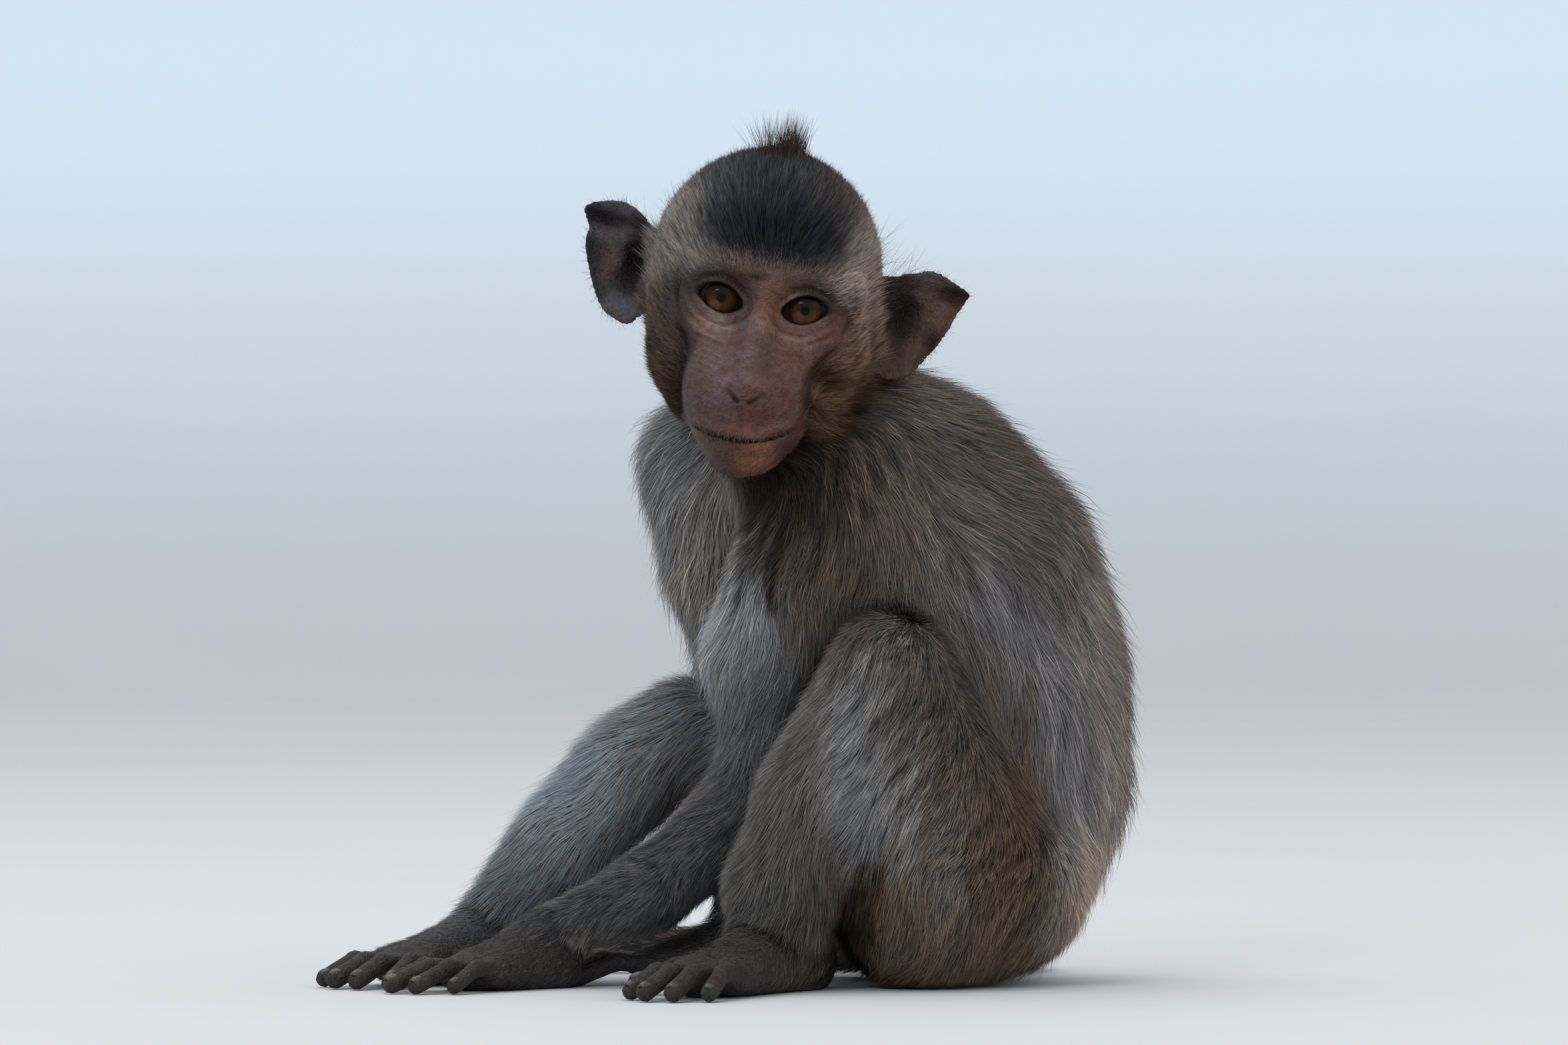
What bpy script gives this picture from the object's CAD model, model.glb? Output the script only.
"""The looks of a seated young long-tailed macaque: skin, eyes, nails, coat and the studio round it.

The flesh is described by rounded cones and balls in the figure's own frame, in millimetres, with x to the
right, y away from the viewer and z up. Meshes are moved into the row frame, in metres, as they are made.
"""
import logging
import math
from abc import ABC, abstractmethod
from dataclasses import dataclass, field, fields
from enum import Enum
from itertools import product
from typing import Any, Iterable, Sequence

import bmesh
import bpy
import numpy as np
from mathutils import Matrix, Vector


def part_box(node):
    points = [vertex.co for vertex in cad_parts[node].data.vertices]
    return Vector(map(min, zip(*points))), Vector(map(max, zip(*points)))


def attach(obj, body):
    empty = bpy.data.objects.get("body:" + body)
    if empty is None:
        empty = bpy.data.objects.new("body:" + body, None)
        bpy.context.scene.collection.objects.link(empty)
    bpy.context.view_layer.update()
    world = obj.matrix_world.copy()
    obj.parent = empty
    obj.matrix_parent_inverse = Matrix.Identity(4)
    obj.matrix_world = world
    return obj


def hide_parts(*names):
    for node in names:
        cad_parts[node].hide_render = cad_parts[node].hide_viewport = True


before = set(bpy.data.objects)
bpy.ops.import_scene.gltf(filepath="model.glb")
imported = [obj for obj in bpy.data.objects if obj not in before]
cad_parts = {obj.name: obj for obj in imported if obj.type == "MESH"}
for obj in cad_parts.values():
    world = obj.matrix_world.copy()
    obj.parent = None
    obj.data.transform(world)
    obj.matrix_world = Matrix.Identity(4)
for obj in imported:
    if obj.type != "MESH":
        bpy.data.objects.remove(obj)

import openvdb
from mathutils import Vector

Array = np.ndarray
Station = tuple[float, float, float, float]
Stations = Sequence[Station]
Triple = tuple[float, float, float]
Pair = tuple[float, float]
Box = tuple[Array, Array]
Faces = list[tuple[int, ...]]
Settings = dict[str, Any]
Sockets = dict[str | int, Any]

LOG = logging.getLogger("macaque")
MM = 0.001  # a millimetre in metres
FAR = 60.0  # what a point reads that is out of every shape's reach
REACH = 15.0  # how far outside its box a shape still counts
SIDES = (1, -1)  # the left, then the right
CELL_KEYS = np.array((1, 100003, 10000600009))  # make one number of a cell's three


# === Numbers ===


def rows(values: Any) -> Array:
    """Returns the values as an array of single-precision numbers."""
    return np.asarray(values, np.float32)


def unit(vectors: Array) -> Array:
    """Returns the vectors at length one."""
    return vectors / np.maximum(np.linalg.norm(vectors, axis=-1, keepdims=True), 1e-9)


def smoothstep(low: float, high: float, values: Array) -> Array:
    """Returns 0 below low, 1 above high and a smooth rise between; low may be the larger of the two."""
    share = np.clip((values - low) / (high - low), 0, 1)
    return share * share * (3 - 2 * share)


def ridge(offset: Array, width: float) -> Array:
    """Returns a bell of height one at offset zero."""
    return np.exp(-np.square(offset / width))


def softened(a: Array, b: Array, blend: float) -> Array:
    """Returns the union of two distances, with the crease filled as far as the blend reaches."""
    overlap = np.maximum(blend - np.abs(a - b), 0) / blend
    return np.minimum(a, b) - overlap * overlap * blend / 4


def carved(a: Array, tool: Array, blend: float) -> Array:
    """Returns the distances to a shape with a tool's shape taken out of it, its edge rounded."""
    return -softened(-a, tool, blend)


def turned(vectors: Array, normals: Array) -> Array:
    """Returns the vectors laid into the planes that the normals stand on, at length one."""
    return unit(vectors - normals * np.sum(vectors * normals, axis=1, keepdims=True))


def wander(points: Array, size: float, seed: int) -> Array:
    """Returns a smooth wavering vector at each point.

    Args:
        points: where it is read.
        size: the distance over which it changes, in millimetres.
        seed: picks the waves.

    Returns:
        One vector a point, each of its numbers mostly between -1 and 1.
    """
    dice = np.random.default_rng(seed)
    waves = dice.normal(0, 1.0 / size, (3, 7, 3)).astype(np.float32)
    starts = dice.uniform(0, 2 * math.pi, (3, 7)).astype(np.float32)
    sums = [np.sin(points @ wave.T + start).sum(1) for wave, start in zip(waves, starts)]
    return np.stack([total / 2.6 for total in sums], axis=1)


def grained(points: Array, way: Array, size: float, seed: int) -> Array:
    """Returns a number that wavers fast across a direction and slowly along it.

    Args:
        points: where it is read.
        way: the direction at each point.
        size: the width of a light and a dark streak together, in millimetres.
        seed: picks the waves.

    Returns:
        One number a point, mostly between -2 and 2.
    """
    dice = np.random.default_rng(seed)
    count, slant = 90, 0.13
    heading = unit(dice.normal(0, 1, (count, 3)).astype(np.float32))
    waves = heading * (2 * math.pi / size * dice.uniform(0.6, 1.4, (count, 1))).astype(np.float32)
    starts = dice.uniform(0, 2 * math.pi, count).astype(np.float32)
    weights = np.exp(-np.square(way.astype(np.float32) @ heading.T / slant))
    total = (np.sin(points.astype(np.float32) @ waves.T + starts) * weights).sum(1)
    return total / np.sqrt(np.square(weights).sum(1) / 2 + 1e-6)


# === Shapes ===


class Shape(ABC):
    """A solid that can tell how far a point is outside it."""

    @abstractmethod
    def distance(self, points: Array) -> Array:
        """Returns how far each point is outside the shape.

        Args:
            points: one place a row, in millimetres.

        Returns:
            One distance a point, negative inside.
        """

    @abstractmethod
    def box(self) -> Box:
        """Returns the lowest and highest corner."""


@dataclass
class Cone(Shape):
    """A round-ended cone between two stations, each a place and a radius."""

    start: Station
    end: Station

    def __post_init__(self) -> None:
        """Keeps both ends as arrays."""
        self.a = rows(self.start[:3])
        self.b = rows(self.end[:3])
        self.axis = self.b - self.a
        self.length_squared = float(max(self.axis @ self.axis, 1e-6))

    def distance(self, points: Array) -> Array:
        """Returns how far each point is outside the cone."""
        away = points - self.a
        share = np.clip(away @ self.axis / self.length_squared, 0, 1)
        spoke = away - share[:, None] * self.axis
        radius = self.start[3] + (self.end[3] - self.start[3]) * share
        return np.sqrt(np.einsum("ij,ij->i", spoke, spoke)) - radius

    def box(self) -> Box:
        """Returns the lowest and highest corner."""
        return (
            np.minimum(self.a - self.start[3], self.b - self.end[3]),
            np.maximum(self.a + self.start[3], self.b + self.end[3]),
        )


@dataclass
class Ball(Shape):
    """An egg with its own radius along each axis."""

    at: Triple
    radii: Triple

    def distance(self, points: Array) -> Array:
        """Returns about how far each point is outside the egg."""
        spoke = points - rows(self.at)
        scaled = spoke / rows(self.radii)
        near = np.sqrt(np.einsum("ij,ij->i", scaled, scaled))
        steep = scaled / rows(self.radii)
        slope = np.sqrt(np.einsum("ij,ij->i", steep, steep))
        return near * (near - 1) / np.maximum(slope, 1e-6)

    def box(self) -> Box:
        """Returns the lowest and highest corner."""
        return rows(self.at) - rows(self.radii), rows(self.at) + rows(self.radii)


@dataclass
class Joined(Shape):
    """Several shapes together, with soft creases between them."""

    members: Sequence[Shape]
    blend: float

    def distance(self, points: Array) -> Array:
        """Returns how far each point is outside the nearest shape; a far-off point may read as FAR."""
        nearest = np.full(len(points), FAR, np.float32)
        for member in self.members:
            low, high = member.box()
            close = np.all((points > low - REACH) & (points < high + REACH), axis=1)
            if close.any():
                nearest[close] = softened(nearest[close], member.distance(points[close]), self.blend)
        return nearest

    def box(self) -> Box:
        """Returns the lowest and highest corner."""
        boxes = [member.box() for member in self.members]
        return np.min([low for low, _ in boxes], axis=0), np.max([high for _, high in boxes], axis=0)


def chain(stations: Stations, blend: float, less: float = 0.0) -> Joined:
    """Returns cones from station to station, softly joined, with less taken off each radius."""
    thinned = [(x, y, z, radius - less) for x, y, z, radius in stations]
    return Joined([Cone(a, b) for a, b in zip(thinned, thinned[1:])], blend)


def eased(before: Array, start: Array, end: Array, after: Array, share: Array) -> Array:
    """Returns places on the smooth curve from start to end.

    Args:
        before: the corner before the start.
        start: where the curve begins.
        end: where the curve ends.
        after: the corner after the end.
        share: how far along the curve each place is, from 0 to 1.

    Returns:
        One row a place.
    """
    return 0.5 * (
        2 * start + (end - before) * share + (2 * before - 5 * start + 4 * end - after) * share**2
        + (3 * start - before - 3 * end + after) * share**3
    )


def curved(stations: Stations, steps: int) -> list[Station]:
    """Returns more stations, on the smooth curve through the ones given.

    Args:
        stations: places and radii in order.
        steps: how many lengths each length is cut into.

    Returns:
        The stations in order.
    """
    corners = np.array([stations[0], *stations, stations[-1]])
    turns = np.arange(steps * (len(stations) - 1) + 1) / steps
    low = np.minimum(turns.astype(int), len(stations) - 2)
    places = eased(*(corners[low + step] for step in range(4)), (turns - low)[:, None])
    return [tuple(place) for place in places.tolist()]


def slope_of(shape: Shape, points: Array, step: float = 0.25) -> Array:
    """Returns the outward normals of a shape, felt by probes that stand a step away."""
    corners = rows([(1, 1, 1), (1, -1, -1), (-1, 1, -1), (-1, -1, 1)])
    return unit(sum(corner * shape.distance(points + corner * step)[:, None] for corner in corners))


def settled(shape: Shape, points: Array, height: Array | float = 0.0, steps: int = 3) -> Array:
    """Moves points along the shape's slope until they stand at a height over its surface."""
    for _ in range(steps):
        points = points - slope_of(shape, points) * (shape.distance(points) - height)[:, None]
    return points


# === Flesh ===


class Region(Enum):
    """The stretches of coat, each of which becomes one or two pieces."""

    HEAD = "head"
    TRUNK = "trunk"
    UPPER_ARM_LEFT = "upper_arm_left"
    FOREARM_LEFT = "forearm_left"
    ARM_RIGHT = "arm_right"
    THIGH_LEFT = "thigh_left"
    SHIN_LEFT = "shin_left"
    LEG_RIGHT = "leg_right"
    TAIL = "tail"
    PAWS = "paws"


@dataclass(frozen=True)
class Growth:
    """How the coat grows on a part.

    Attributes:
        depth: from the skin to the coat's outside, in millimetres.
        length: of a lock.
        girth: of a lock.
    """

    depth: float
    length: float
    girth: float


SHORT = Growth(2.2, 6.5, 0.23)
CHEEK_HAIR = Growth(3.0, 8.5, 0.24)
NAPE_HAIR = Growth(3.6, 11.0, 0.34)
BODY_HAIR = Growth(5.6, 13.0, 0.36)
THROAT_HAIR = Growth(4.6, 10.5, 0.34)
UPPER_ARM_HAIR = Growth(4.2, 10.5, 0.34)
FOREARM_HAIR = Growth(2.6, 7.0, 0.28)
THIGH_HAIR = Growth(4.6, 10.0, 0.33)
SHIN_HAIR = Growth(3.8, 9.5, 0.31)
TAIL_HAIR = Growth(2.0, 6.0, 0.32)
PAW_HAIR = Growth(1.0, 4.2, 0.2)


@dataclass
class Bone:
    """A length of flesh, the way its coat lies and how it grows."""

    shape: Shape
    lie: Triple
    growth: Growth
    region: Region


@dataclass(frozen=True)
class Stance:
    """Where the head sits and how it is turned.

    Attributes:
        at: the point between the eyes.
        turn: degrees about the upright axis.
        tip: degrees about the axis that runs from face to nape.
    """

    at: Triple = (-6.4, -52.0, 208.4)
    turn: float = -3.0
    tip: float = 9.0

    def axes(self) -> Array:
        """Returns the head's own axes as the columns of a matrix."""
        turn, tip = math.radians(self.turn), math.radians(self.tip)
        c, s = math.cos(turn), math.sin(turn)
        about_z = rows([(c, -s, 0), (s, c, 0), (0, 0, 1)])
        c, s = math.cos(tip), math.sin(tip)
        return about_z @ rows([(c, 0, s), (0, 1, 0), (-s, 0, c)])

    def into_head(self, points: Array) -> Array:
        """Returns figure points in the head's frame."""
        return (points - rows(self.at)) @ self.axes()

    def into_figure(self, points: Array) -> Array:
        """Returns head points in the figure's frame."""
        return points @ self.axes().T + rows(self.at)


@dataclass
class Placed(Shape):
    """A shape of the head, set where the head sits."""

    shape: Shape
    stance: Stance

    def distance(self, points: Array) -> Array:
        """Returns how far each point is outside the shape."""
        return self.shape.distance(self.stance.into_head(points))

    def box(self) -> Box:
        """Returns the lowest and highest corner of the shape's box once it is placed."""
        low, high = self.shape.box()
        picks = np.array(np.meshgrid([0, 1], [0, 1], [0, 1])).reshape(3, -1).T
        corners = self.stance.into_figure(np.where(picks == 0, low, high).astype(np.float32))
        return corners.min(0), corners.max(0)


@dataclass
class Eyes:
    """The places and sizes of the eyeballs and of the openings between the lids, in the head's frame."""

    at: Triple = (12.8, 8.3, 0.0)
    radius: float = 8.3
    half_width: float = 6.7
    half_height: float = 4.1
    tilt: float = 0.16
    drop: float = 0.8
    lid: float = 1.25

    def opening(self, points: Array, side: int) -> Array:
        """Returns how far each point is outside the almond between the lids, seen from the front.

        Args:
            points: places in the head's frame.
            side: 1 for the left eye, -1 for the right.

        Returns:
            One distance a point, negative between the lids.
        """
        bulge = (self.half_width**2 + self.half_height**2) / (2 * self.half_height)
        drop = bulge - self.half_height
        across = side * points[:, 0] - self.at[0]
        up = points[:, 2] - self.at[2] + self.drop - self.tilt * across
        over = np.hypot(across, up + drop) - bulge
        under = np.hypot(across, up - drop) - bulge
        return -softened(-over, -under, 1.2)


@dataclass
class Face(Shape):
    """The head's flesh with its brow, muzzle, lids, lips and folds, in the head's own frame."""

    eyes: Eyes = field(default_factory=Eyes)

    def __post_init__(self) -> None:
        """Builds the head's masses, each thinner by the depth of its coat."""
        fur, cheek, nape = SHORT.depth, CHEEK_HAIR.depth, NAPE_HAIR.depth
        self.cranium = Ball((-2.8, 39, 10), (36.2 - fur, 43 - fur, 38.5 - fur))
        self.nape = Ball((0, 50, -8), (30 - nape,) * 3)
        self.cheeks = [
            Ball((20, 25, -13), (15.3 - cheek, 20 - cheek, 23 - cheek)),
            Ball((-21.4, 25, -6), (16.2 - cheek, 20 - cheek, 22 - cheek)),
        ]
        self.jaws = [
            chain([(7.8, 11, -37.5, 8.2), (21, 31, -24, 12)], 2, cheek * 0.8),
            chain([(-8.6, 11, -37.5, 8.2), (-17, 17, -31.5, 9.6), (-21, 29, -22, 12.5)], 2, cheek * 0.8),
        ]
        pairs = (
            ([(19, 10, -8, 8), (20, 12.5, -22, 7)], 0.0),
            ([(0, 0.8, 8.4, 5.2), (13, 1.8, 9.8, 5.3), (24, 10.5, 6, 5.6)], 0.3),
            ([(11, 7, -9, 7.5), (9, -3, -24, 10)], 0.0),
        )
        self.front = [
            Ball((-1.2, 3, -28.6), (19.4, 22.5, 15.4)),
            chain([(0, 1, -3, 5.2), (0, -11, -16, 4.8), (0, -17, -25, 5.2)], 3),
            Ball((-0.8, 5, -42.2), (11.0, 18, 11.6)),
            *(
                chain([(x * side, y, z, r) for x, y, z, r in path], 3, less)
                for path, less in pairs for side in SIDES
            ),
        ]
        self.masses = Joined([self.cranium, self.nape, *self.cheeks, *self.jaws, *self.front], 8)
        self.orbits = [Ball((13 * side, -4.0, -1.0), (9.2, 7.0, 7.2)) for side in SIDES]

    def box(self) -> Box:
        """Returns the lowest and highest corner."""
        return rows((-40, -26, -56)), rows((40, 90, 56))

    def distance(self, points: Array) -> Array:
        """Returns how far each point is outside the head."""
        flesh = self.masses.distance(points)
        for orbit in self.orbits:
            flesh = carved(flesh, orbit.distance(points), 4)
        near = np.all((points > rows((-30, -28, -58))) & (points < rows((30, 22, 22))), axis=1)
        flesh[near] = self.detailed(points[near], flesh[near])
        return flesh

    def detailed(self, points: Array, flesh: Array) -> Array:
        """Adds the lids and the folds to the flesh of the face's front.

        Args:
            points: places near the face.
            flesh: the distances there without detail.

        Returns:
            The distances with detail.
        """
        flesh = flesh - self.relief(points)
        eyes = self.eyes
        for side in SIDES:
            centre = rows((eyes.at[0] * side, eyes.at[1], eyes.at[2]))
            spoke = np.linalg.norm(points - centre, axis=1)
            flesh = softened(flesh, spoke - eyes.radius - eyes.lid, 2.4)
            slot = eyes.opening(points, side) - 0.28 * np.maximum(spoke - eyes.radius, 0)
            depth = np.maximum(slot, eyes.radius - 1.6 - spoke)
            depth = np.maximum(depth, points[:, 1] - eyes.at[1])
            flesh = carved(flesh, depth, 0.7)
        return flesh

    def relief(self, points: Array) -> Array:
        """Returns how far the folds, lips and nostrils stand out of the plain flesh.

        Args:
            points: places in the head's frame.

        Returns:
            The height at each point, in millimetres.
        """
        u, y, v = points.T
        raised = self.eye_folds(points) + self.nose_relief(u, v) + self.mouth_relief(u, v)
        crease = ridge(np.abs(u) - self.crease_line(u, v), 1.5)
        raised = raised - 1.3 * (crease * smoothstep(-8, -14, v) * smoothstep(-40, -31, v))
        wrinkles = smoothstep(-21, -17, u) * smoothstep(-7, -11, u)
        wrinkles = wrinkles * smoothstep(-6, -9, v) * smoothstep(-27, -21, v)
        raised += 0.16 * wrinkles * np.sin(2 * math.pi * (v + 0.25 * u + 0.012 * np.square(u + 14)) / 2.1)
        raised -= 0.7 * ridge(np.hypot((u + 2.4) / 2.6, v - 6.4), 0.8)
        return raised * smoothstep(20, 12, y)

    @staticmethod
    def crease_line(u: Array, v: Array) -> Array:
        """Returns how far from the middle the crease between muzzle and cheek runs, at each height."""
        right = 20.4 + 0.03 * np.square(np.maximum(v + 22, 0))
        return np.where(u > 0, 17.6 + 0.035 * np.square(v + 24), right)

    def eye_folds(self, points: Array) -> Array:
        """Returns the relief of the folds above, below and beside both eyes.

        Args:
            points: places in the head's frame.

        Returns:
            The height at each point, in millimetres.
        """
        total = np.zeros(len(points), np.float32)
        for side in SIDES:
            gap = self.eyes.opening(points, side)
            across = side * points[:, 0] - self.eyes.at[0]
            up = points[:, 2] - self.eyes.at[2] - 0.15 * across
            above, below = smoothstep(0, 3, up), smoothstep(0.5, -3, up)
            outer = smoothstep(-6, 6, across)
            middle = smoothstep(13, 7, np.abs(across))
            total += (0.08 + 0.42 * below) * ridge(gap - 1.1, 0.7)
            for height, away, width, half, reach in (
                (-0.8, 2.6, 0.6, above, 1), (-0.35, 3.4, 0.45, below, 1), (0.35, 4.7, 0.9, below, 1),
                (-0.45, 6.4, 0.6, below, 0.3 + 0.7 * outer), (0.2, 8.0, 1.0, below, 1),
                (-0.25, 9.6, 0.7, below, 1),
            ):
                total += height * ridge(gap - away, width) * half * reach * middle
            fold = across - 13.6 + 0.03 * np.square(up + 1)
            total -= 0.7 * ridge(fold, 0.7) * smoothstep(7, 3, up) * smoothstep(-12, -6, up)
        return total

    @staticmethod
    def nose_relief(u: Array, v: Array) -> Array:
        """Returns the relief of the nose's tip, wings, nostrils and the groove under it.

        Args:
            u: how far each point is to the left.
            v: its height.

        Returns:
            The height of the relief at each point, in millimetres.
        """
        side_u = np.abs(u)
        raised = 1.1 * np.exp(-np.square(u / 3.4) - np.square((v + 26) / 4))
        raised += 1.3 * np.exp(-np.square((side_u - 5.6) / 2.3) - np.square((v + 27) / 2.6))
        raised += 0.7 * ridge(side_u, 2.4) * smoothstep(-2, -6, v) * smoothstep(-24, -19, v)
        gap, share = Face.nostril(u, v)
        raised -= 0.9 * ridge(gap, 0.6) * (1.0 - 0.5 * share)
        raised -= 0.4 * ridge(u, 0.9) * smoothstep(-31, -33, v) * smoothstep(-40, -36, v)
        return raised

    @staticmethod
    def nostril(u: Array, v: Array) -> tuple[Array, Array]:
        """Returns how far each point is from the nearer nostril's slit, and how far along the slit it is.

        Args:
            u: how far each point is to the left.
            v: its height.

        Returns:
            The distances, and the shares of the slit from 0 to 1.
        """
        start = np.array((1.7, -31.0))
        along = np.array((5.5, -28.0)) - start
        across, up = np.abs(u - 0.1) - start[0], v - start[1]
        share = np.clip((across * along[0] + up * along[1]) / (along @ along), 0, 1)
        return np.hypot(across - share * along[0], up - share * along[1]), share

    @staticmethod
    def mouth_line(u: Array) -> Array:
        """Returns the height of the line between the lips at each distance from the middle."""
        return -42.6 + np.where(u < 0, 3.6, 8.0) * np.square(u / 18.0)

    def mouth_relief(self, u: Array, v: Array) -> Array:
        """Returns the relief of the lips and of the line between them."""
        above = v - self.mouth_line(u)
        inside = smoothstep(17, 12.5, np.abs(u))
        lips = 0.9 * ridge(above - 1.9, 1.7) - 1.4 * ridge(above, 0.5) + 0.3 * ridge(above + 2.2, 1.5)
        return inside * lips

    @staticmethod
    def fringe(points: Array) -> Array:
        """Returns about how far each point of the head's frame is outside the bare face."""
        u, y, v = points.T
        band = (np.hypot((u + 0.8) / 28.2, (v + 5) / 14.6) - 1) * 14.6
        muzzle = (np.hypot((u + 0.8) / 19.8, (v + 27) / np.where(v < -27, 30, 26)) - 1) * 20
        return np.maximum(softened(band, muzzle, 5), (y - 19) * 0.8)

    @staticmethod
    def furred(points: Array) -> Array:
        """Returns how much coat grows at each point of the head's frame, from 0 on the bare face to 1."""
        return smoothstep(-1.0, 3.0, Face.fringe(points))


@dataclass(frozen=True)
class Fold:
    """A dent, or with a negative push a bump, in the plate of an ear."""

    at: Pair
    reach: Pair
    push: float


@dataclass
class Ear(Shape):
    """A thin cupped ear in the head's frame, round a heart that every spoke of it sees.

    Attributes:
        outline: corners of its rim, to the left and up.
        heart: the middle of the spokes.
        folds: the dents and bumps of its plate.
        root_depth: how far behind the eyes it grows.
        sweep: how much it leans back for each step outwards.
        cup: how deep its middle is.
        thickness: of the plate at the heart.
        rim: thickness at the rim.
        roll: how far the rim rolls forwards.
    """

    outline: Sequence[Pair]
    heart: Pair
    folds: Sequence[Fold]
    root_depth: float = 30.0
    sweep: float = 0.5
    cup: float = 4.0
    thickness: float = 2.4
    rim: float = 1.5
    roll: float = 1.1

    def __post_init__(self) -> None:
        """Works out how far the rim is from the heart in every direction."""
        corners = np.array(self.outline)
        turns = np.linspace(0, len(corners), 161)[:-1]
        low = turns.astype(int)
        share = turns - low
        smooth = eased(*(corners[(low + step) % len(corners)] for step in (-1, 0, 1, 2)), share[:, None])
        spokes = smooth - np.array(self.heart)
        angles = np.arctan2(spokes[:, 1], spokes[:, 0])
        order = np.argsort(angles)
        self.angles = angles[order]
        self.reaches = np.linalg.norm(spokes, axis=1)[order]

    def distance(self, points: Array) -> Array:
        """Returns about how far each point is outside the ear."""
        across, up = points[:, 0] - self.heart[0], points[:, 2] - self.heart[1]
        reach = np.interp(np.arctan2(up, across), self.angles, self.reaches, period=2 * math.pi)
        spoke = np.hypot(across, up)
        share = np.clip(spoke / reach, 0, 1.2)
        depth = self.root_depth + self.sweep * (np.abs(points[:, 0]) - 33) + self.cup * (1 - share**2)
        depth -= self.roll * ridge(share - 0.97, 0.12)
        for fold in self.folds:
            off = (points[:, [0, 2]] - rows(fold.at)) / rows(fold.reach)
            depth += fold.push * np.exp(-np.square(off).sum(1))
        half = (self.thickness + (self.rim - self.thickness) * np.clip(share, 0, 1)) / 2
        plate = np.abs(points[:, 1] - depth) / 1.15 - half
        return -softened(-plate, -(spoke - reach + 0.2) * 0.8, 1.4)

    def box(self) -> Box:
        """Returns the lowest and highest corner."""
        corners = np.array(self.outline)
        low, high = corners.min(0), corners.max(0)
        return rows((low[0] - 1, 26, low[1] - 1)), rows((high[0] + 1, 56, high[1] + 1))


@dataclass(frozen=True)
class Digit:
    """One finger or toe: where it leaves the palm, the way it points, and its size."""

    ahead: float
    out: float
    turn: float
    length: float
    radius: float


@dataclass(frozen=True)
class Sole:
    """The thicknesses of a palm or a sole."""

    knuckle: float
    knuckle_height: float
    wrist: float
    heel_length: float
    heel_radius: float
    digits: tuple[Digit, ...]


HAND = Sole(5.3, 6.0, 8.8, 2.0, 8.0, (
    Digit(8, -7, -48, 19, 3.6), Digit(27, -8, -9, 25, 3.5), Digit(29, -2.7, -2, 29, 3.6),
    Digit(28, 2.8, 5, 28, 3.5), Digit(26, 8, 13, 22, 3.3),
))
FOOT = Sole(5.8, 6.4, 11.0, 13.0, 9.8, (
    Digit(20, -9, -34, 27, 4.3), Digit(42, -9, -8, 25, 3.7), Digit(45, -3.2, -2, 28, 3.8),
    Digit(44, 2.8, 4, 28, 3.8), Digit(41, 8.6, 11, 25, 3.6),
))


@dataclass
class Paw:
    """A hand or a foot flat on the floor.

    Attributes:
        sole: its kind.
        root: where the wrist or ankle is.
        heading: degrees from +x in which it points.
        outer: 1 where the little digit lies to the left of the heading.
    """

    sole: Sole
    root: Triple
    heading: float
    outer: int
    arch: float = 1.6
    bare: float = 0.9

    def place(self, ahead: float, out: float, height: float) -> Triple:
        """Returns a place on the paw.

        Args:
            ahead: how far ahead of the root it is.
            out: how far to its outer side.
            height: over the floor.

        Returns:
            The place in the figure's frame.
        """
        heading = math.radians(self.heading)
        x = self.root[0] + ahead * math.cos(heading) - out * self.outer * math.sin(heading)
        y = self.root[1] + ahead * math.sin(heading) + out * self.outer * math.cos(heading)
        return x, y, height

    def digit(self, digit: Digit) -> list[Station]:
        """Returns the stations of a digit from knuckle to tip.

        Args:
            digit: its sizes.

        Returns:
            Three places with their radii.
        """
        lean, height, radius = math.radians(digit.turn), self.sole.knuckle_height, digit.radius - self.bare
        middle, end = (
            (digit.ahead + length * math.cos(lean), digit.out + length * math.sin(lean))
            for length in (digit.length * 0.5, digit.length)
        )
        return [
            (*self.place(digit.ahead - 3, digit.out, height), 1.15 * digit.radius - self.bare),
            (*self.place(*middle, height + self.arch), radius),
            (*self.place(*end, radius + 0.1), radius),
        ]

    def shape(self) -> Joined:
        """Returns the palm and its digits."""
        sole = self.sole
        joint = (*self.place(0, 0, self.root[2]), sole.wrist - self.bare)
        heel = (*self.place(-sole.heel_length, 0, sole.heel_radius - 1), sole.heel_radius - self.bare)
        thickness = sole.knuckle - self.bare
        knuckles = [(*self.place(d.ahead, d.out, sole.knuckle_height), thickness) for d in sole.digits]
        spread = [Cone(heel, knuckle) for knuckle in knuckles]
        palm = Joined([Cone(joint, heel), *spread, Cone(joint, knuckles[2])], 5)
        return Joined([palm, *(chain(self.digit(d), 1.2) for d in sole.digits)], 1.2)

    def nails(self) -> list[tuple[Station, Array]]:
        """Returns each digit's tip and the direction in which it points."""
        ends = [self.digit(d) for d in self.sole.digits]
        return [(tip, unit(rows(tip[:3]) - rows(middle[:3]))) for _, middle, tip in ends]


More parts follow.
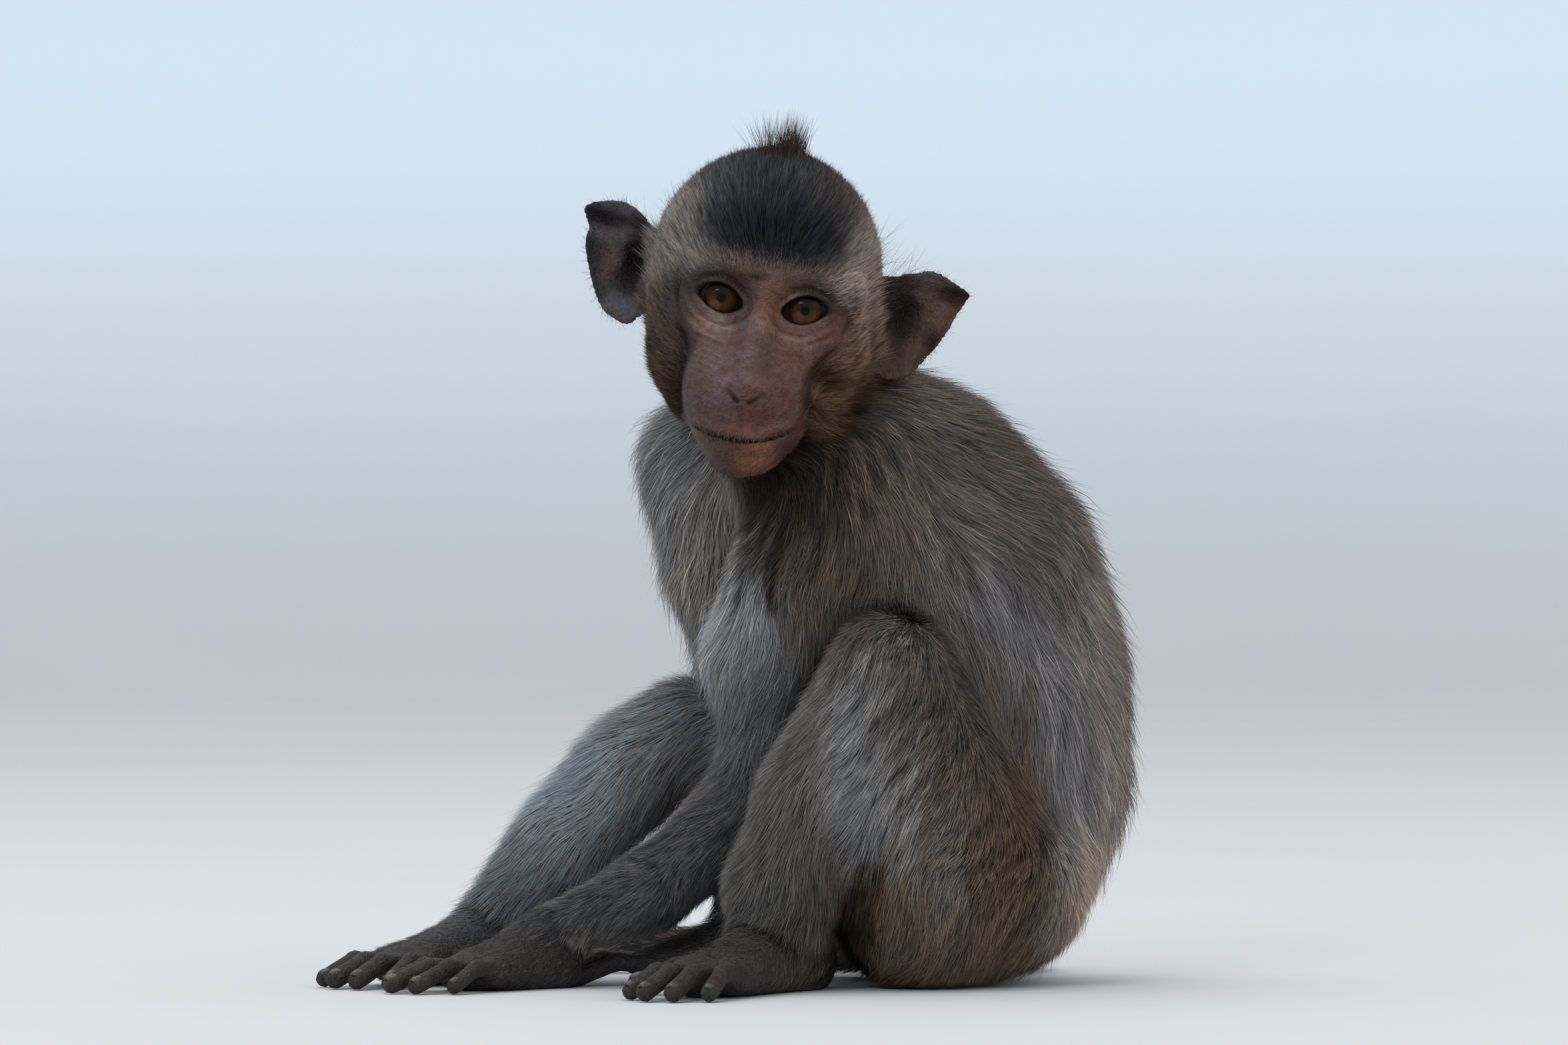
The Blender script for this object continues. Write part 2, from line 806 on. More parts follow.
@dataclass
class Figure:
    """The whole animal's flesh: bones with their coats, paws, head and ears.

    Attributes:
        mingle: how far from a bone's edge its coat mixes with the next bone's.
    """

    stance: Stance = field(default_factory=Stance)
    face: Face = field(default_factory=Face)
    mingle: float = 2.6
    spine: Stations = (
        (60, 12, 37, 38.5), (65, 11, 61, 41), (62, 8, 91, 43.5), (52, 4, 121, 44.5),
        (35, 2, 145, 41.5), (18, 1, 158, 35), (4, -2, 180, 27),
    )
    throat: Stations = ((14, -4, 155, 29), (-5, -26, 167, 18))
    thigh_left: Stations = ((64, -14, 32, 29), (45, -28, 61, 25), (32.5, -43, 98.5, 19))
    ham_left: Stations = ((64, -14, 32, 29), (44, -28, 28.5, 30), (36, -38, 74, 21.5))
    calf_left: Stations = ((23, -45, 76, 18), (20, -46, 47, 16))
    thigh_right: Stations = ((50, 30, 33, 32), (8, 26, 57, 24), (-29, 22, 79, 17))
    ham_right: Stations = ((50, 30, 32, 30), (24, 29, 29, 30))
    shin_left: Stations = ((30, -45, 97, 17.5), (10, -46, 58, 19), (-1, -47, 30, 17.8), (-2, -47, 14, 13.5))
    shin_right: Stations = ((-31, 22, 78, 17.5), (-48, 22, 64, 19), (-68, 21, 42, 17.5), (-93, 20, 15, 12.5))
    upper_arm_left: Stations = (
        (16, -22, 149, 24), (4, -19, 120, 22), (-6.5, -17, 100, 19), (-4.5, -15, 82, 14.5),
        (-6, -14, 66, 13.5),
    )
    upper_arm_right: Stations = (
        (-22, 17, 160, 25), (-21, 14, 125, 16), (-13, 11, 98, 13.5), (-6, 12, 84, 12.5),
    )
    forearm_left: Stations = (
        (-6, -14, 66, 13.5), (-22, -17, 44, 13.5), (-42, -21, 28.5, 12.5), (-73, -27, 16, 9),
    )
    forearm_right: Stations = ((-6, 12, 84, 12.5), (-8, 7, 58, 11.5), (-11, 2, 36, 11), (-14, -2, 16, 9.3))
    tail: Stations = (
        (62, 38, 22, 14), (70, 56, 11, 10), (76, 76, 8, 8.2), (70, 98, 7.5, 7.7), (48, 116, 7.2, 7.4),
        (12, 122, 6.8, 7), (-28, 120, 6.3, 6.5), (-62, 110, 5.7, 5.9), (-78, 88, 5, 5.2), (-68, 66, 4.3, 4.5),
        (-44, 58, 3.4, 3.6),
    )
    ears: Sequence[Ear] = (
        Ear(
            [(31, 12), (36.6, 14.8), (44.7, 17.6), (49.5, 18.1), (54.6, 15.9), (60, 13.2), (59.4, 10.2),
             (56.8, 4.5), (55.8, 1.0), (52.5, -5.5), (47.2, -13.6), (44, -16.5), (38.5, -17.6), (34, -15),
             (30, -7)],
            (44, 0),
            (Fold((55.5, 11.4), (5, 1.8), 1.7), Fold((52.5, 6.5), (4, 2.6), -1.0),
             Fold((42, 2.5), (4.4, 6.5), 5.5), Fold((50.4, -5), (1.8, 4), 1.0),
             Fold((42, -12), (4, 4), -0.8), Fold((37, -5), (2.2, 3.2), -3.2)),
        ),
        Ear(
            [(-32, 12), (-39.5, 19.1), (-45, 23.2), (-51.2, 24.8), (-59.4, 22.9), (-61.4, 20.2),
             (-59.2, 15.5), (-59.6, 10.4), (-57.6, 3.3), (-53.7, -5.3), (-49.4, -10.6), (-42, -13.4),
             (-38, -10.2), (-31, -4)],
            (-45.5, 6),
            (Fold((-54, 18.4), (4.6, 2.0), 1.9), Fold((-51, 14.4), (6, 2), -1.1),
             Fold((-42.3, 7), (3.6, 8), 5.5), Fold((-43, -8), (4, 4), -0.8),
             Fold((-38.8, -1.5), (2, 3.2), -3.2)),
        ),
    )
    paws: Sequence[Paw] = (
        Paw(HAND, (-73, -27, 15), 223, 1), Paw(HAND, (-13, -3, 14), 188, -1),
        Paw(FOOT, (-2, -47, 13), 241, 1), Paw(FOOT, (-93, 20, 13), 237, -1),
    )

    def __post_init__(self) -> None:
        """Builds the bones and the skin's shape."""
        self.bones: list[Bone] = []
        down_spine = self.limb(list(reversed(self.spine)), BODY_HAIR, Region.TRUNK, 12)
        throat = self.limb(self.throat[::-1], THROAT_HAIR, Region.TRUNK, 8)
        arm_left = Joined([
            self.limb(self.upper_arm_left, UPPER_ARM_HAIR, Region.UPPER_ARM_LEFT, 7),
            self.limb(self.forearm_left, FOREARM_HAIR, Region.FOREARM_LEFT, 7),
        ], 4)
        arm_right = Joined([
            self.limb(self.upper_arm_right, UPPER_ARM_HAIR, Region.ARM_RIGHT, 7),
            self.limb(self.forearm_right, FOREARM_HAIR, Region.ARM_RIGHT, 7),
        ], 4)
        leg_left = Joined([
            self.limb(self.thigh_left, THIGH_HAIR, Region.THIGH_LEFT, 9, lie=(-0.35, -0.7, -0.6)),
            self.limb(self.ham_left, THIGH_HAIR, Region.THIGH_LEFT, 9, lie=(-0.45, -0.4, -0.75)),
            self.limb(self.shin_left, SHIN_HAIR, Region.SHIN_LEFT, 7),
            self.limb(self.calf_left, SHIN_HAIR, Region.SHIN_LEFT, 7),
        ], 9)
        leg_right = Joined([
            self.limb(self.thigh_right, THIGH_HAIR, Region.LEG_RIGHT, 7, lie=(-0.85, 0, -0.5)),
            self.limb(self.ham_right, THIGH_HAIR, Region.LEG_RIGHT, 7, lie=(-0.7, 0, -0.7)),
            self.limb(self.shin_right, SHIN_HAIR, Region.LEG_RIGHT, 7),
        ], 4)
        hands = [paw.shape() for paw in self.paws]
        for shape, paw in zip(hands, self.paws):
            heading = math.radians(paw.heading)
            lie = (math.cos(heading), math.sin(heading), -0.2)
            self.bones.append(Bone(shape, lie, PAW_HAIR, Region.PAWS))
        tail = self.limb(curved(self.tail, 3), TAIL_HAIR, Region.TAIL, 4)
        head = Placed(self.face, self.stance)
        ears = [Placed(ear, self.stance) for ear in self.ears]
        for shapes, growth in (
            ([self.face.cranium], SHORT), ([self.face.nape], NAPE_HAIR),
            (self.face.cheeks + self.face.jaws, CHEEK_HAIR), (self.face.front, SHORT),
        ):
            for shape in shapes:
                self.bones.append(Bone(Placed(shape, self.stance), (0, 1, 0), growth, Region.HEAD))
        core = Joined([Joined([down_spine, throat], 10), head], 8)
        body = Joined([core, arm_left, arm_right, leg_left, leg_right, tail], 5)
        self.skin = Joined([body, *ears, *hands], 2)
        self.head = Joined([head, *ears], 2)

    def limb(
        self, stations: Stations, growth: Growth, region: Region, blend: float, lie: Triple | None = None
    ) -> Joined:
        """Adds the bones of a limb and returns its flesh without the coat.

        Args:
            stations: the coat's outside from the body outwards, which is also how the coat lies.
            growth: of its coat.
            region: of its coat.
            blend: the softness of its bends.
            lie: how the coat lies, where that isn't along the stations.

        Returns:
            The joined cones.
        """
        flesh = chain(stations, blend, growth.depth)
        for cone in flesh.members:
            self.bones.append(Bone(cone, lie or tuple(unit(cone.axis)), growth, region))
        return flesh

    def shares(self, points: Array) -> Array:
        """Returns how much each bone counts at each point, one row a bone, adding up to one."""
        gaps = np.stack([bone.shape.distance(points) for bone in self.bones])
        weights = np.exp(-(gaps - gaps.min(0)) / self.mingle)
        return weights / weights.sum(0)

    def bones_in(self, *regions: Region) -> Array:
        """Returns which bones belong to the regions."""
        return np.array([bone.region in regions for bone in self.bones])

    def off_head(self, points: Array) -> Array:
        """Returns how far each point is outside the head, its ears left out."""
        return Placed(self.face, self.stance).distance(points)

    def off_ears(self, points: Array) -> Array:
        """Returns how far each point is outside the nearer ear."""
        return np.minimum(*(Placed(ear, self.stance).distance(points) for ear in self.ears))


# === Meshes ===


def row_shift(figure: Figure) -> Array:
    """Returns the metres that take the figure's frame to the row frame, read off the left eye."""
    low, high = (np.array(corner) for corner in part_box("eye_left"))
    eye = figure.stance.into_figure(rows([figure.face.eyes.at]))[0]
    return (low + high) / 2 - eye * MM


def mesh_of(name: str, points: Array, faces: Array) -> bpy.types.Mesh:
    """Returns a smooth mesh.

    Args:
        name: the mesh's name.
        points: its corners in metres.
        faces: one row of corner numbers a face, all of one length.

    Returns:
        The mesh.
    """
    mesh = bpy.data.meshes.new(name)
    mesh.vertices.add(len(points))
    mesh.vertices.foreach_set("co", rows(points).ravel())
    sides = faces.shape[1]
    mesh.loops.add(faces.size)
    mesh.loops.foreach_set("vertex_index", faces.astype(np.int32).ravel())
    mesh.polygons.add(len(faces))
    mesh.polygons.foreach_set("loop_start", np.arange(0, faces.size, sides, dtype=np.int32))
    mesh.update(calc_edges=True)
    mesh.validate()
    mesh.shade_smooth()
    return mesh


def shown(name: str, mesh: bpy.types.Mesh) -> bpy.types.Object:
    """Returns an object of the mesh, linked to the scene."""
    thing = bpy.data.objects.new(name, mesh)
    bpy.context.scene.collection.objects.link(thing)
    return thing


def dropped(thing: bpy.types.Object) -> None:
    """Removes an object that was only a helper, with its mesh."""
    mesh = thing.data
    bpy.data.objects.remove(thing)
    if mesh.users == 0:
        bpy.data.meshes.remove(mesh)


def opaque(colours: Array) -> Array:
    """Returns the colours with a fourth column of ones."""
    return np.hstack([colours, np.ones((len(colours), 1), np.float32)])


def paint(mesh: bpy.types.Mesh, **layers: Array) -> None:
    """Stores values at each vertex.

    Args:
        mesh: the mesh that gets them.
        layers: by the name that nodes use, a number, a vector or an opaque colour for each vertex.
    """
    kinds = {1: ("FLOAT", "value"), 3: ("FLOAT_VECTOR", "vector"), 4: ("FLOAT_COLOR", "color")}
    for name, values in layers.items():
        kind, slot = kinds[1 if values.ndim == 1 else values.shape[1]]
        mesh.attributes.new(name, kind, "POINT").data.foreach_set(slot, rows(values).ravel())


def corners_of(mesh: bpy.types.Mesh) -> tuple[Array, Array]:
    """Returns a mesh's corners and the corner numbers of its triangles."""
    points = np.empty(len(mesh.vertices) * 3, np.float32)
    mesh.vertices.foreach_get("co", points)
    mesh.calc_loop_triangles()
    triangles = np.empty(len(mesh.loop_triangles) * 3, np.int32)
    mesh.loop_triangles.foreach_get("vertices", triangles)
    return points.reshape(-1, 3), triangles.reshape(-1, 3)


def split_edges(points: Array, triangles: Array, wanted: Array) -> tuple[Array, Array]:
    """Halves the edges between wanted corners and closes the triangles round them.

    Args:
        points: the corners.
        triangles: corner numbers, three a row.
        wanted: true for each corner in the stretch to be made finer.

    Returns:
        The corners and triangles after the split.
    """
    sides = np.stack([triangles, np.roll(triangles, -1, axis=1)], axis=2).reshape(-1, 2)
    ends, place = np.unique(np.sort(sides, axis=1), axis=0, return_inverse=True)
    place = place.reshape(-1, 3)
    halved = wanted[ends].all(axis=1)
    number = np.full(len(ends), -1)
    number[halved] = len(points) + np.arange(halved.sum())
    middles = number[place]
    grown = np.vstack([points, points[ends[halved]].mean(axis=1)])
    count = (middles >= 0).sum(axis=1)
    made = [triangles[count == 0]]
    for turn in range(3):
        a, b, c = np.roll(triangles, -turn, axis=1).T
        ab, bc, ca = np.roll(middles, -turn, axis=1).T
        one = (count == 1) & (ab >= 0)
        made += [np.stack([a, ab, c], 1)[one], np.stack([ab, b, c], 1)[one]]
        two = (count == 2) & (ca < 0)
        made += [np.stack(third, 1)[two] for third in ((a, ab, c), (ab, b, bc), (ab, bc, c))]
        if turn == 0:
            quarters = ((a, ab, ca), (ab, b, bc), (ca, bc, c), (ab, bc, ca))
            made += [np.stack(quarter, 1)[count == 3] for quarter in quarters]
    return grown.astype(np.float32), np.vstack(made)


@dataclass
class SkinCast:
    """Turns the flesh's shape into one closed mesh, fine on the face and plain where the coat covers it.

    Attributes:
        voxel: the distance between samples, in millimetres.
        block: samples along the side of a block that is skipped when it is far from the skin.
        body_triangles: how many triangles the body keeps.
    """

    figure: Figure
    voxel: float = 0.9
    block: int = 4
    body_triangles: int = 30000

    def samples(self, low: Array, high: Array) -> Array:
        """Returns the shape's distances on a grid, clipped far from the skin.

        Args:
            low: the grid's lowest corner.
            high: its highest corner.

        Returns:
            The distances, one for each place of the grid.
        """
        shape, voxel, block = self.figure.skin, self.voxel, self.block
        counts = np.ceil((high - low) / (voxel * block)).astype(int)
        span = [np.arange(count, dtype=np.float32) for count in counts]
        grid = np.stack(np.meshgrid(*span, indexing="ij"), axis=-1).reshape(-1, 3)
        middle = low + (grid * block + (block - 1) / 2) * voxel
        rough = shape.distance(middle.astype(np.float32))
        clip = 3 * voxel
        dense = np.where(rough > 0, clip, -clip).astype(np.float32)
        dense = np.repeat(dense[:, None], block**3, axis=1)
        near = np.flatnonzero(np.abs(rough) < voxel * block * 1.35)
        inner = np.stack(np.meshgrid(*[np.arange(block)] * 3, indexing="ij"), axis=-1).reshape(-1, 3)
        places = low + (grid[near][:, None, :] * block + inner[None]) * voxel
        found = shape.distance(places.reshape(-1, 3).astype(np.float32)).reshape(len(near), -1)
        dense[near] = np.clip(found, -clip, clip)
        dense = dense.reshape(*counts, block, block, block).transpose(0, 3, 1, 4, 2, 5)
        return np.ascontiguousarray(dense.reshape(counts * block))

    def cast(self) -> tuple[Array, Array]:
        """Returns the skin's corners, in figure millimetres, and its triangles."""
        low, high = self.figure.skin.box()
        low, high = low - 3, high + 3
        grid = openvdb.FloatGrid(3 * self.voxel)
        grid.copyFromArray(self.samples(low, high))
        points, triangles, quads = grid.convertToPolygons(isovalue=0.0, adaptivity=0.0)
        points = (low + points * self.voxel).astype(np.float32)
        faces = np.vstack([triangles, quads[:, [0, 1, 2]], quads[:, [0, 2, 3]]]).astype(np.int32)
        points, faces = self.thinned(points, faces)
        points, faces = split_edges(points, faces, self.on_face(points))
        points, faces = split_edges(points, faces, self.on_features(points))
        points = settled(self.figure.skin, points, steps=2)
        points[:, 2] = np.maximum(points[:, 2], 0.0)
        a, b, c = (points[faces[:, k]] for k in range(3))
        outward = np.einsum("ij,ij->", np.cross(b - a, c - a), slope_of(self.figure.skin, (a + b + c) / 3))
        return points, faces if outward > 0 else faces[:, ::-1]

    def thinned(self, points: Array, faces: Array) -> tuple[Array, Array]:
        """Returns the mesh with fewer triangles on all but the face and the ears.

        Args:
            points: the mesh's corners.
            faces: its triangles.

        Returns:
            The corners and triangles that stay.
        """
        helper = shown("skin_cast", mesh_of("skin_cast", points, faces))
        kept = self.on_face(points, 2.0) | self.on_ears(points)
        group = helper.vertex_groups.new(name="body")
        group.add(np.flatnonzero(~kept).tolist(), 1.0, "REPLACE")
        fewer = helper.modifiers.new("fewer", "DECIMATE")
        fewer.vertex_group = "body"
        fewer.vertex_group_factor = 100.0
        kept_faces = kept[faces].all(axis=1).sum()
        fewer.ratio = min(1.0, (self.body_triangles + kept_faces) / len(faces))
        evaluated = helper.evaluated_get(bpy.context.evaluated_depsgraph_get())
        result = corners_of(evaluated.to_mesh())
        evaluated.to_mesh_clear()
        dropped(helper)
        return result

    def on_face(self, points: Array, margin: float = 0.0) -> Array:
        """Returns which points are on the bare front of the face, up to a margin round it."""
        local = self.figure.stance.into_head(points)
        u, y, v = local.T
        inside = (np.abs(u) < 27 + margin) & (v > -56 - margin) & (v < 15 + margin)
        return inside & (y < 17 + margin) & (Face.furred(local) < 0.9)

    def on_features(self, points: Array) -> Array:
        """Returns which points are on the lids' rims, the nostrils or the line of the mouth."""
        local = self.figure.stance.into_head(points)
        u, y, v = local.T
        face = self.figure.face
        rims = [np.abs(face.eyes.opening(local, side) - 0.4) < 2.2 for side in SIDES]
        nostrils = (np.abs(u) < 7.5) & (np.abs(v + 28.5) < 4)
        lips = (np.abs(v - face.mouth_line(u)) < 1.6) & (np.abs(u) < 19.5)
        return (rims[0] | rims[1] | nostrils | lips) & (y < 9)

    def on_ears(self, points: Array) -> Array:
        """Returns which points are on an ear, away from the head."""
        return (self.figure.off_ears(points) < 1.2) & (self.figure.off_head(points) > 1.0)


# === Markings and lie ===


class Tint(Enum):
    """The animal's colours, linear."""

    CAP = (0.021, 0.023, 0.029)
    CAP_DARK = (0.003, 0.003, 0.004)
    CAP_GREY = (0.029, 0.032, 0.039)
    CAP_EDGE = (0.045, 0.036, 0.032)
    CREST = (0.03, 0.021, 0.016)
    GRIZZLE = (0.115, 0.106, 0.1)
    TEMPLE = (0.165, 0.138, 0.128)
    ARM_BROWN = (0.054, 0.04, 0.031)
    ARM_LOW = (0.062, 0.063, 0.067)
    CALF_LOW = (0.052, 0.05, 0.049)
    FLANK_DARK = (0.036, 0.029, 0.026)
    FLANK_PALE = (0.125, 0.118, 0.122)
    REAR_EDGE = (0.17, 0.135, 0.115)
    FAR_LOW = (0.073, 0.082, 0.092)
    FUZZ = (0.07, 0.055, 0.05)
    BROW_HAIR = (0.15, 0.108, 0.09)
    CHEEK_GOLD = (0.09, 0.053, 0.033)
    CHEEK_DARK = (0.042, 0.028, 0.022)
    HOLLOW = (0.022, 0.011, 0.007)
    NAPE = (0.06, 0.048, 0.042)
    SHOULDER = (0.072, 0.054, 0.045)
    BACK = (0.048, 0.04, 0.038)
    BACK_RIM = (0.036, 0.029, 0.026)
    BACK_EDGE = (0.13, 0.109, 0.1)
    MIDDLE_BACK = (0.056, 0.048, 0.046)
    FLANK = (0.074, 0.074, 0.082)
    PALE = (0.135, 0.14, 0.147)
    CHEST = (0.125, 0.112, 0.103)
    FAR_SHOULDER = (0.104, 0.104, 0.109)
    THROAT = (0.12, 0.092, 0.08)
    SHADOW = (0.011, 0.007, 0.005)
    KNEE = (0.064, 0.059, 0.056)
    THIGH = (0.062, 0.053, 0.047)
    THIGH_STREAK = (0.125, 0.125, 0.131)
    RUMP = (0.062, 0.045, 0.034)
    SHIN = (0.064, 0.06, 0.058)
    FOREARM = (0.042, 0.042, 0.046)
    FAR_KNEE = (0.088, 0.099, 0.11)
    FAR_SHIN = (0.13, 0.148, 0.165)
    RUST = (0.08, 0.042, 0.02)
    TAIL = (0.07, 0.06, 0.052)
    PAW = (0.06, 0.053, 0.05)
    BELLY = (0.14, 0.13, 0.125)
    FACE = (0.11, 0.066, 0.05)
    FACE_WARM = (0.1, 0.05, 0.034)
    TEMPLE_SKIN = (0.058, 0.025, 0.015)
    SOCKET = (0.036, 0.024, 0.021)
    SIDE_SKIN = (0.036, 0.024, 0.02)
    LID = (0.125, 0.082, 0.074)
    LID_RIDGE = (0.2, 0.13, 0.105)
    BROW_SKIN = (0.088, 0.054, 0.042)
    BROW_FOLD = (0.03, 0.014, 0.01)
    BRIDGE_WARM = (0.175, 0.077, 0.048)
    BRIDGE_COOL = (0.066, 0.05, 0.052)
    NOSE = (0.078, 0.05, 0.052)
    MUZZLE = (0.1, 0.063, 0.058)
    MUZZLE_WARM = (0.1, 0.048, 0.036)
    LIP = (0.11, 0.05, 0.036)
    CHIN = (0.24, 0.11, 0.066)
    CHIN_DARK = (0.068, 0.04, 0.032)
    RIM = (0.006, 0.004, 0.004)
    CREASE = (0.009, 0.006, 0.005)
    EAR_COOL = (0.02, 0.018, 0.021)
    EAR_WARM = (0.066, 0.039, 0.029)
    EAR_DARK = (0.008, 0.005, 0.005)
    EAR_SHEEN = (0.085, 0.08, 0.088)
    EAR_FLESH = (0.1, 0.058, 0.045)
    CONCHA = (0.004, 0.002, 0.002)
    THIGH_SKIN = (0.1, 0.09, 0.088)


@dataclass(frozen=True)
class Patch:
    """A soft-edged patch of one colour.

    Attributes:
        tint: its colour.
        at: its middle.
        reach: how far it spreads along each axis.
        strength: how much it counts against its neighbours.
        both: whether the far side of the body has it too.
    """

    tint: Tint
    at: Triple
    reach: Triple
    strength: float = 1.0
    both: bool = False


@dataclass(frozen=True)
class Stroke:
    """The way the coat lies near a place.

    Attributes:
        at: the place.
        reach: how far it counts.
        lie: the way the locks point.
        stretch: times the usual length.
        lift: times the usual height over the skin.
        both: whether the far side of the body has it too.
    """

    at: Triple
    reach: float
    lie: Triple
    stretch: float = 1.0
    lift: float = 1.0
    both: bool = False


def across_body(at: Triple) -> Triple:
    """Returns the place on the far side of the body that answers to a place on the near side."""
    middle_y = 4.0
    return at[0], 2 * middle_y - at[1], at[2]


BODY_PATCHES = (
    Patch(Tint.NAPE, (30, -20, 186), (26, 26, 14), 1.0, True),
    Patch(Tint.SHOULDER, (30, -42, 152), (26, 24, 20), 1.2, True),
    Patch(Tint.ARM_BROWN, (12, -42, 126), (13, 22, 17), 2.4, True),
    Patch(Tint.ARM_BROWN, (30, -42, 132), (12, 20, 14)),
    Patch(Tint.SHADOW, (1, -40, 150), (15, 20, 10), 8.0),
    Patch(Tint.SHADOW, (-10, -38, 142), (8, 18, 13), 9.0),
    Patch(Tint.SHADOW, (9, -38, 164), (15, 20, 8), 6.0),
    Patch(Tint.BACK, (56, -28, 168), (30, 34, 20), 1.2, True),
    Patch(Tint.BACK, (82, 0, 150), (24, 40, 24)),
    Patch(Tint.MIDDLE_BACK, (70, -34, 136), (20, 26, 22), 1.2, True),
    Patch(Tint.BACK_EDGE, (94, -14, 112), (9, 24, 22), 1.6),
    Patch(Tint.BACK_EDGE, (103, -8, 76), (8, 30, 30), 0.9),
    Patch(Tint.BACK_RIM, (110, 14, 118), (14, 26, 40), 3.6),
    Patch(Tint.BACK_RIM, (80, 2, 166), (26, 22, 16), 2.4),
    Patch(Tint.BACK_RIM, (120, 10, 70), (8, 26, 40), 2.4),
    Patch(Tint.REAR_EDGE, (93, -22, 28), (7, 18, 16), 2.4),
    Patch(Tint.FLANK, (62, -38, 112), (14, 22, 18), 1.4, True),
    Patch(Tint.FLANK, (86, -28, 86), (12, 24, 22), 1.2, True),
    Patch(Tint.FLANK_DARK, (50, -38, 114), (6, 16, 7), 0.8, True),
    Patch(Tint.FLANK_DARK, (56, -36, 101), (7, 16, 11), 2.4, True),
    Patch(Tint.FLANK_DARK, (71, -32, 80), (7, 18, 15), 2.6, True),
    Patch(Tint.FLANK_DARK, (78, -30, 42), (5, 18, 18), 2.2, True),
    Patch(Tint.FLANK_PALE, (61, -42, 124), (6, 16, 11), 1.2),
    Patch(Tint.FLANK_PALE, (70, -38, 102), (4, 16, 12), 1.4),
    Patch(Tint.FLANK_PALE, (79, -34, 86), (4, 16, 14), 1.6),
    Patch(Tint.FLANK_PALE, (85, -30, 64), (4, 16, 14), 1.8),
    Patch(Tint.FLANK_PALE, (87, -27, 38), (4, 16, 14), 2.4),
    Patch(Tint.PALE, (-17, -34, 114), (9, 18, 20), 2.6),
    Patch(Tint.ARM_LOW, (-10, -34, 90), (12, 16, 14), 2.4),
    Patch(Tint.CHEST, (-22, -10, 134), (12, 18, 16), 1.8),
    Patch(Tint.THROAT, (-20, -28, 150), (9, 16, 10), 1.8),
    Patch(Tint.FAR_SHOULDER, (-38, 8, 158), (14, 26, 20), 1.5),
    Patch(Tint.BELLY, (20, 5, 90), (22, 22, 50)),
    Patch(Tint.KNEE, (32, -54, 108), (18, 20, 13), 1.8),
    Patch(Tint.THIGH, (46, -52, 86), (18, 20, 20), 1.4),
    Patch(Tint.THIGH_STREAK, (23, -60, 70), (9, 16, 20), 1.5),
    Patch(Tint.THIGH_STREAK, (36, -56, 60), (5, 16, 18), 1.1),
    Patch(Tint.THIGH_STREAK, (51, -50, 36), (5, 16, 14), 0.9),
    Patch(Tint.RUMP, (62, -46, 58), (14, 24, 26), 1.6),
    Patch(Tint.RUMP, (60, -42, 20), (24, 26, 20), 1.8),
    Patch(Tint.RUST, (61, -42, 94), (4, 14, 10), 0.7),
    Patch(Tint.RUST, (75, -38, 62), (4, 14, 20), 1.6),
    Patch(Tint.SHIN, (0, -60, 60), (10, 20, 26), 1.7),
    Patch(Tint.CALF_LOW, (-8, -60, 28), (14, 20, 18), 1.9),
    Patch(Tint.FLANK_DARK, (10, -58, 38), (6, 20, 13), 1.2),
    Patch(Tint.SHADOW, (2, -60, 24), (7, 20, 8), 0.8),
    Patch(Tint.SHADOW, (23, -54, 18), (6, 22, 15), 1.5),
    Patch(Tint.FOREARM, (-8, -22, 56), (14, 16, 14), 1.6),
    Patch(Tint.FOREARM, (-42, -24, 28), (32, 18, 16), 2.4),
    Patch(Tint.FAR_KNEE, (-28, 16, 86), (22, 22, 12), 1.4),
    Patch(Tint.FAR_SHIN, (-66, 14, 52), (22, 22, 22), 1.5),
    Patch(Tint.FAR_LOW, (-92, 14, 30), (18, 22, 18), 1.5),
    Patch(Tint.SHADOW, (-26, -2, 72), (9, 10, 12), 0.8),
    Patch(Tint.THIGH_SKIN, (-38, 4, 62), (10, 16, 11), 3.2),
    Patch(Tint.RUMP, (40, 60, 40), (34, 20, 34), 1.3),
    Patch(Tint.TAIL, (0, 120, 6), (90, 14, 12), 4.0),
    Patch(Tint.TAIL, (72, 78, 8), (16, 36, 12), 4.0),
    Patch(Tint.TAIL, (-66, 80, 5), (26, 34, 10), 4.0),
    Patch(Tint.PAW, (-88, -42, 6), (20, 22, 9), 2.0),
    Patch(Tint.PAW, (-36, -8, 6), (24, 12, 9), 2.0),
    Patch(Tint.PAW, (-16, -82, 6), (22, 26, 9), 2.0),
    Patch(Tint.PAW, (-116, -14, 6), (18, 24, 9), 2.0),
)

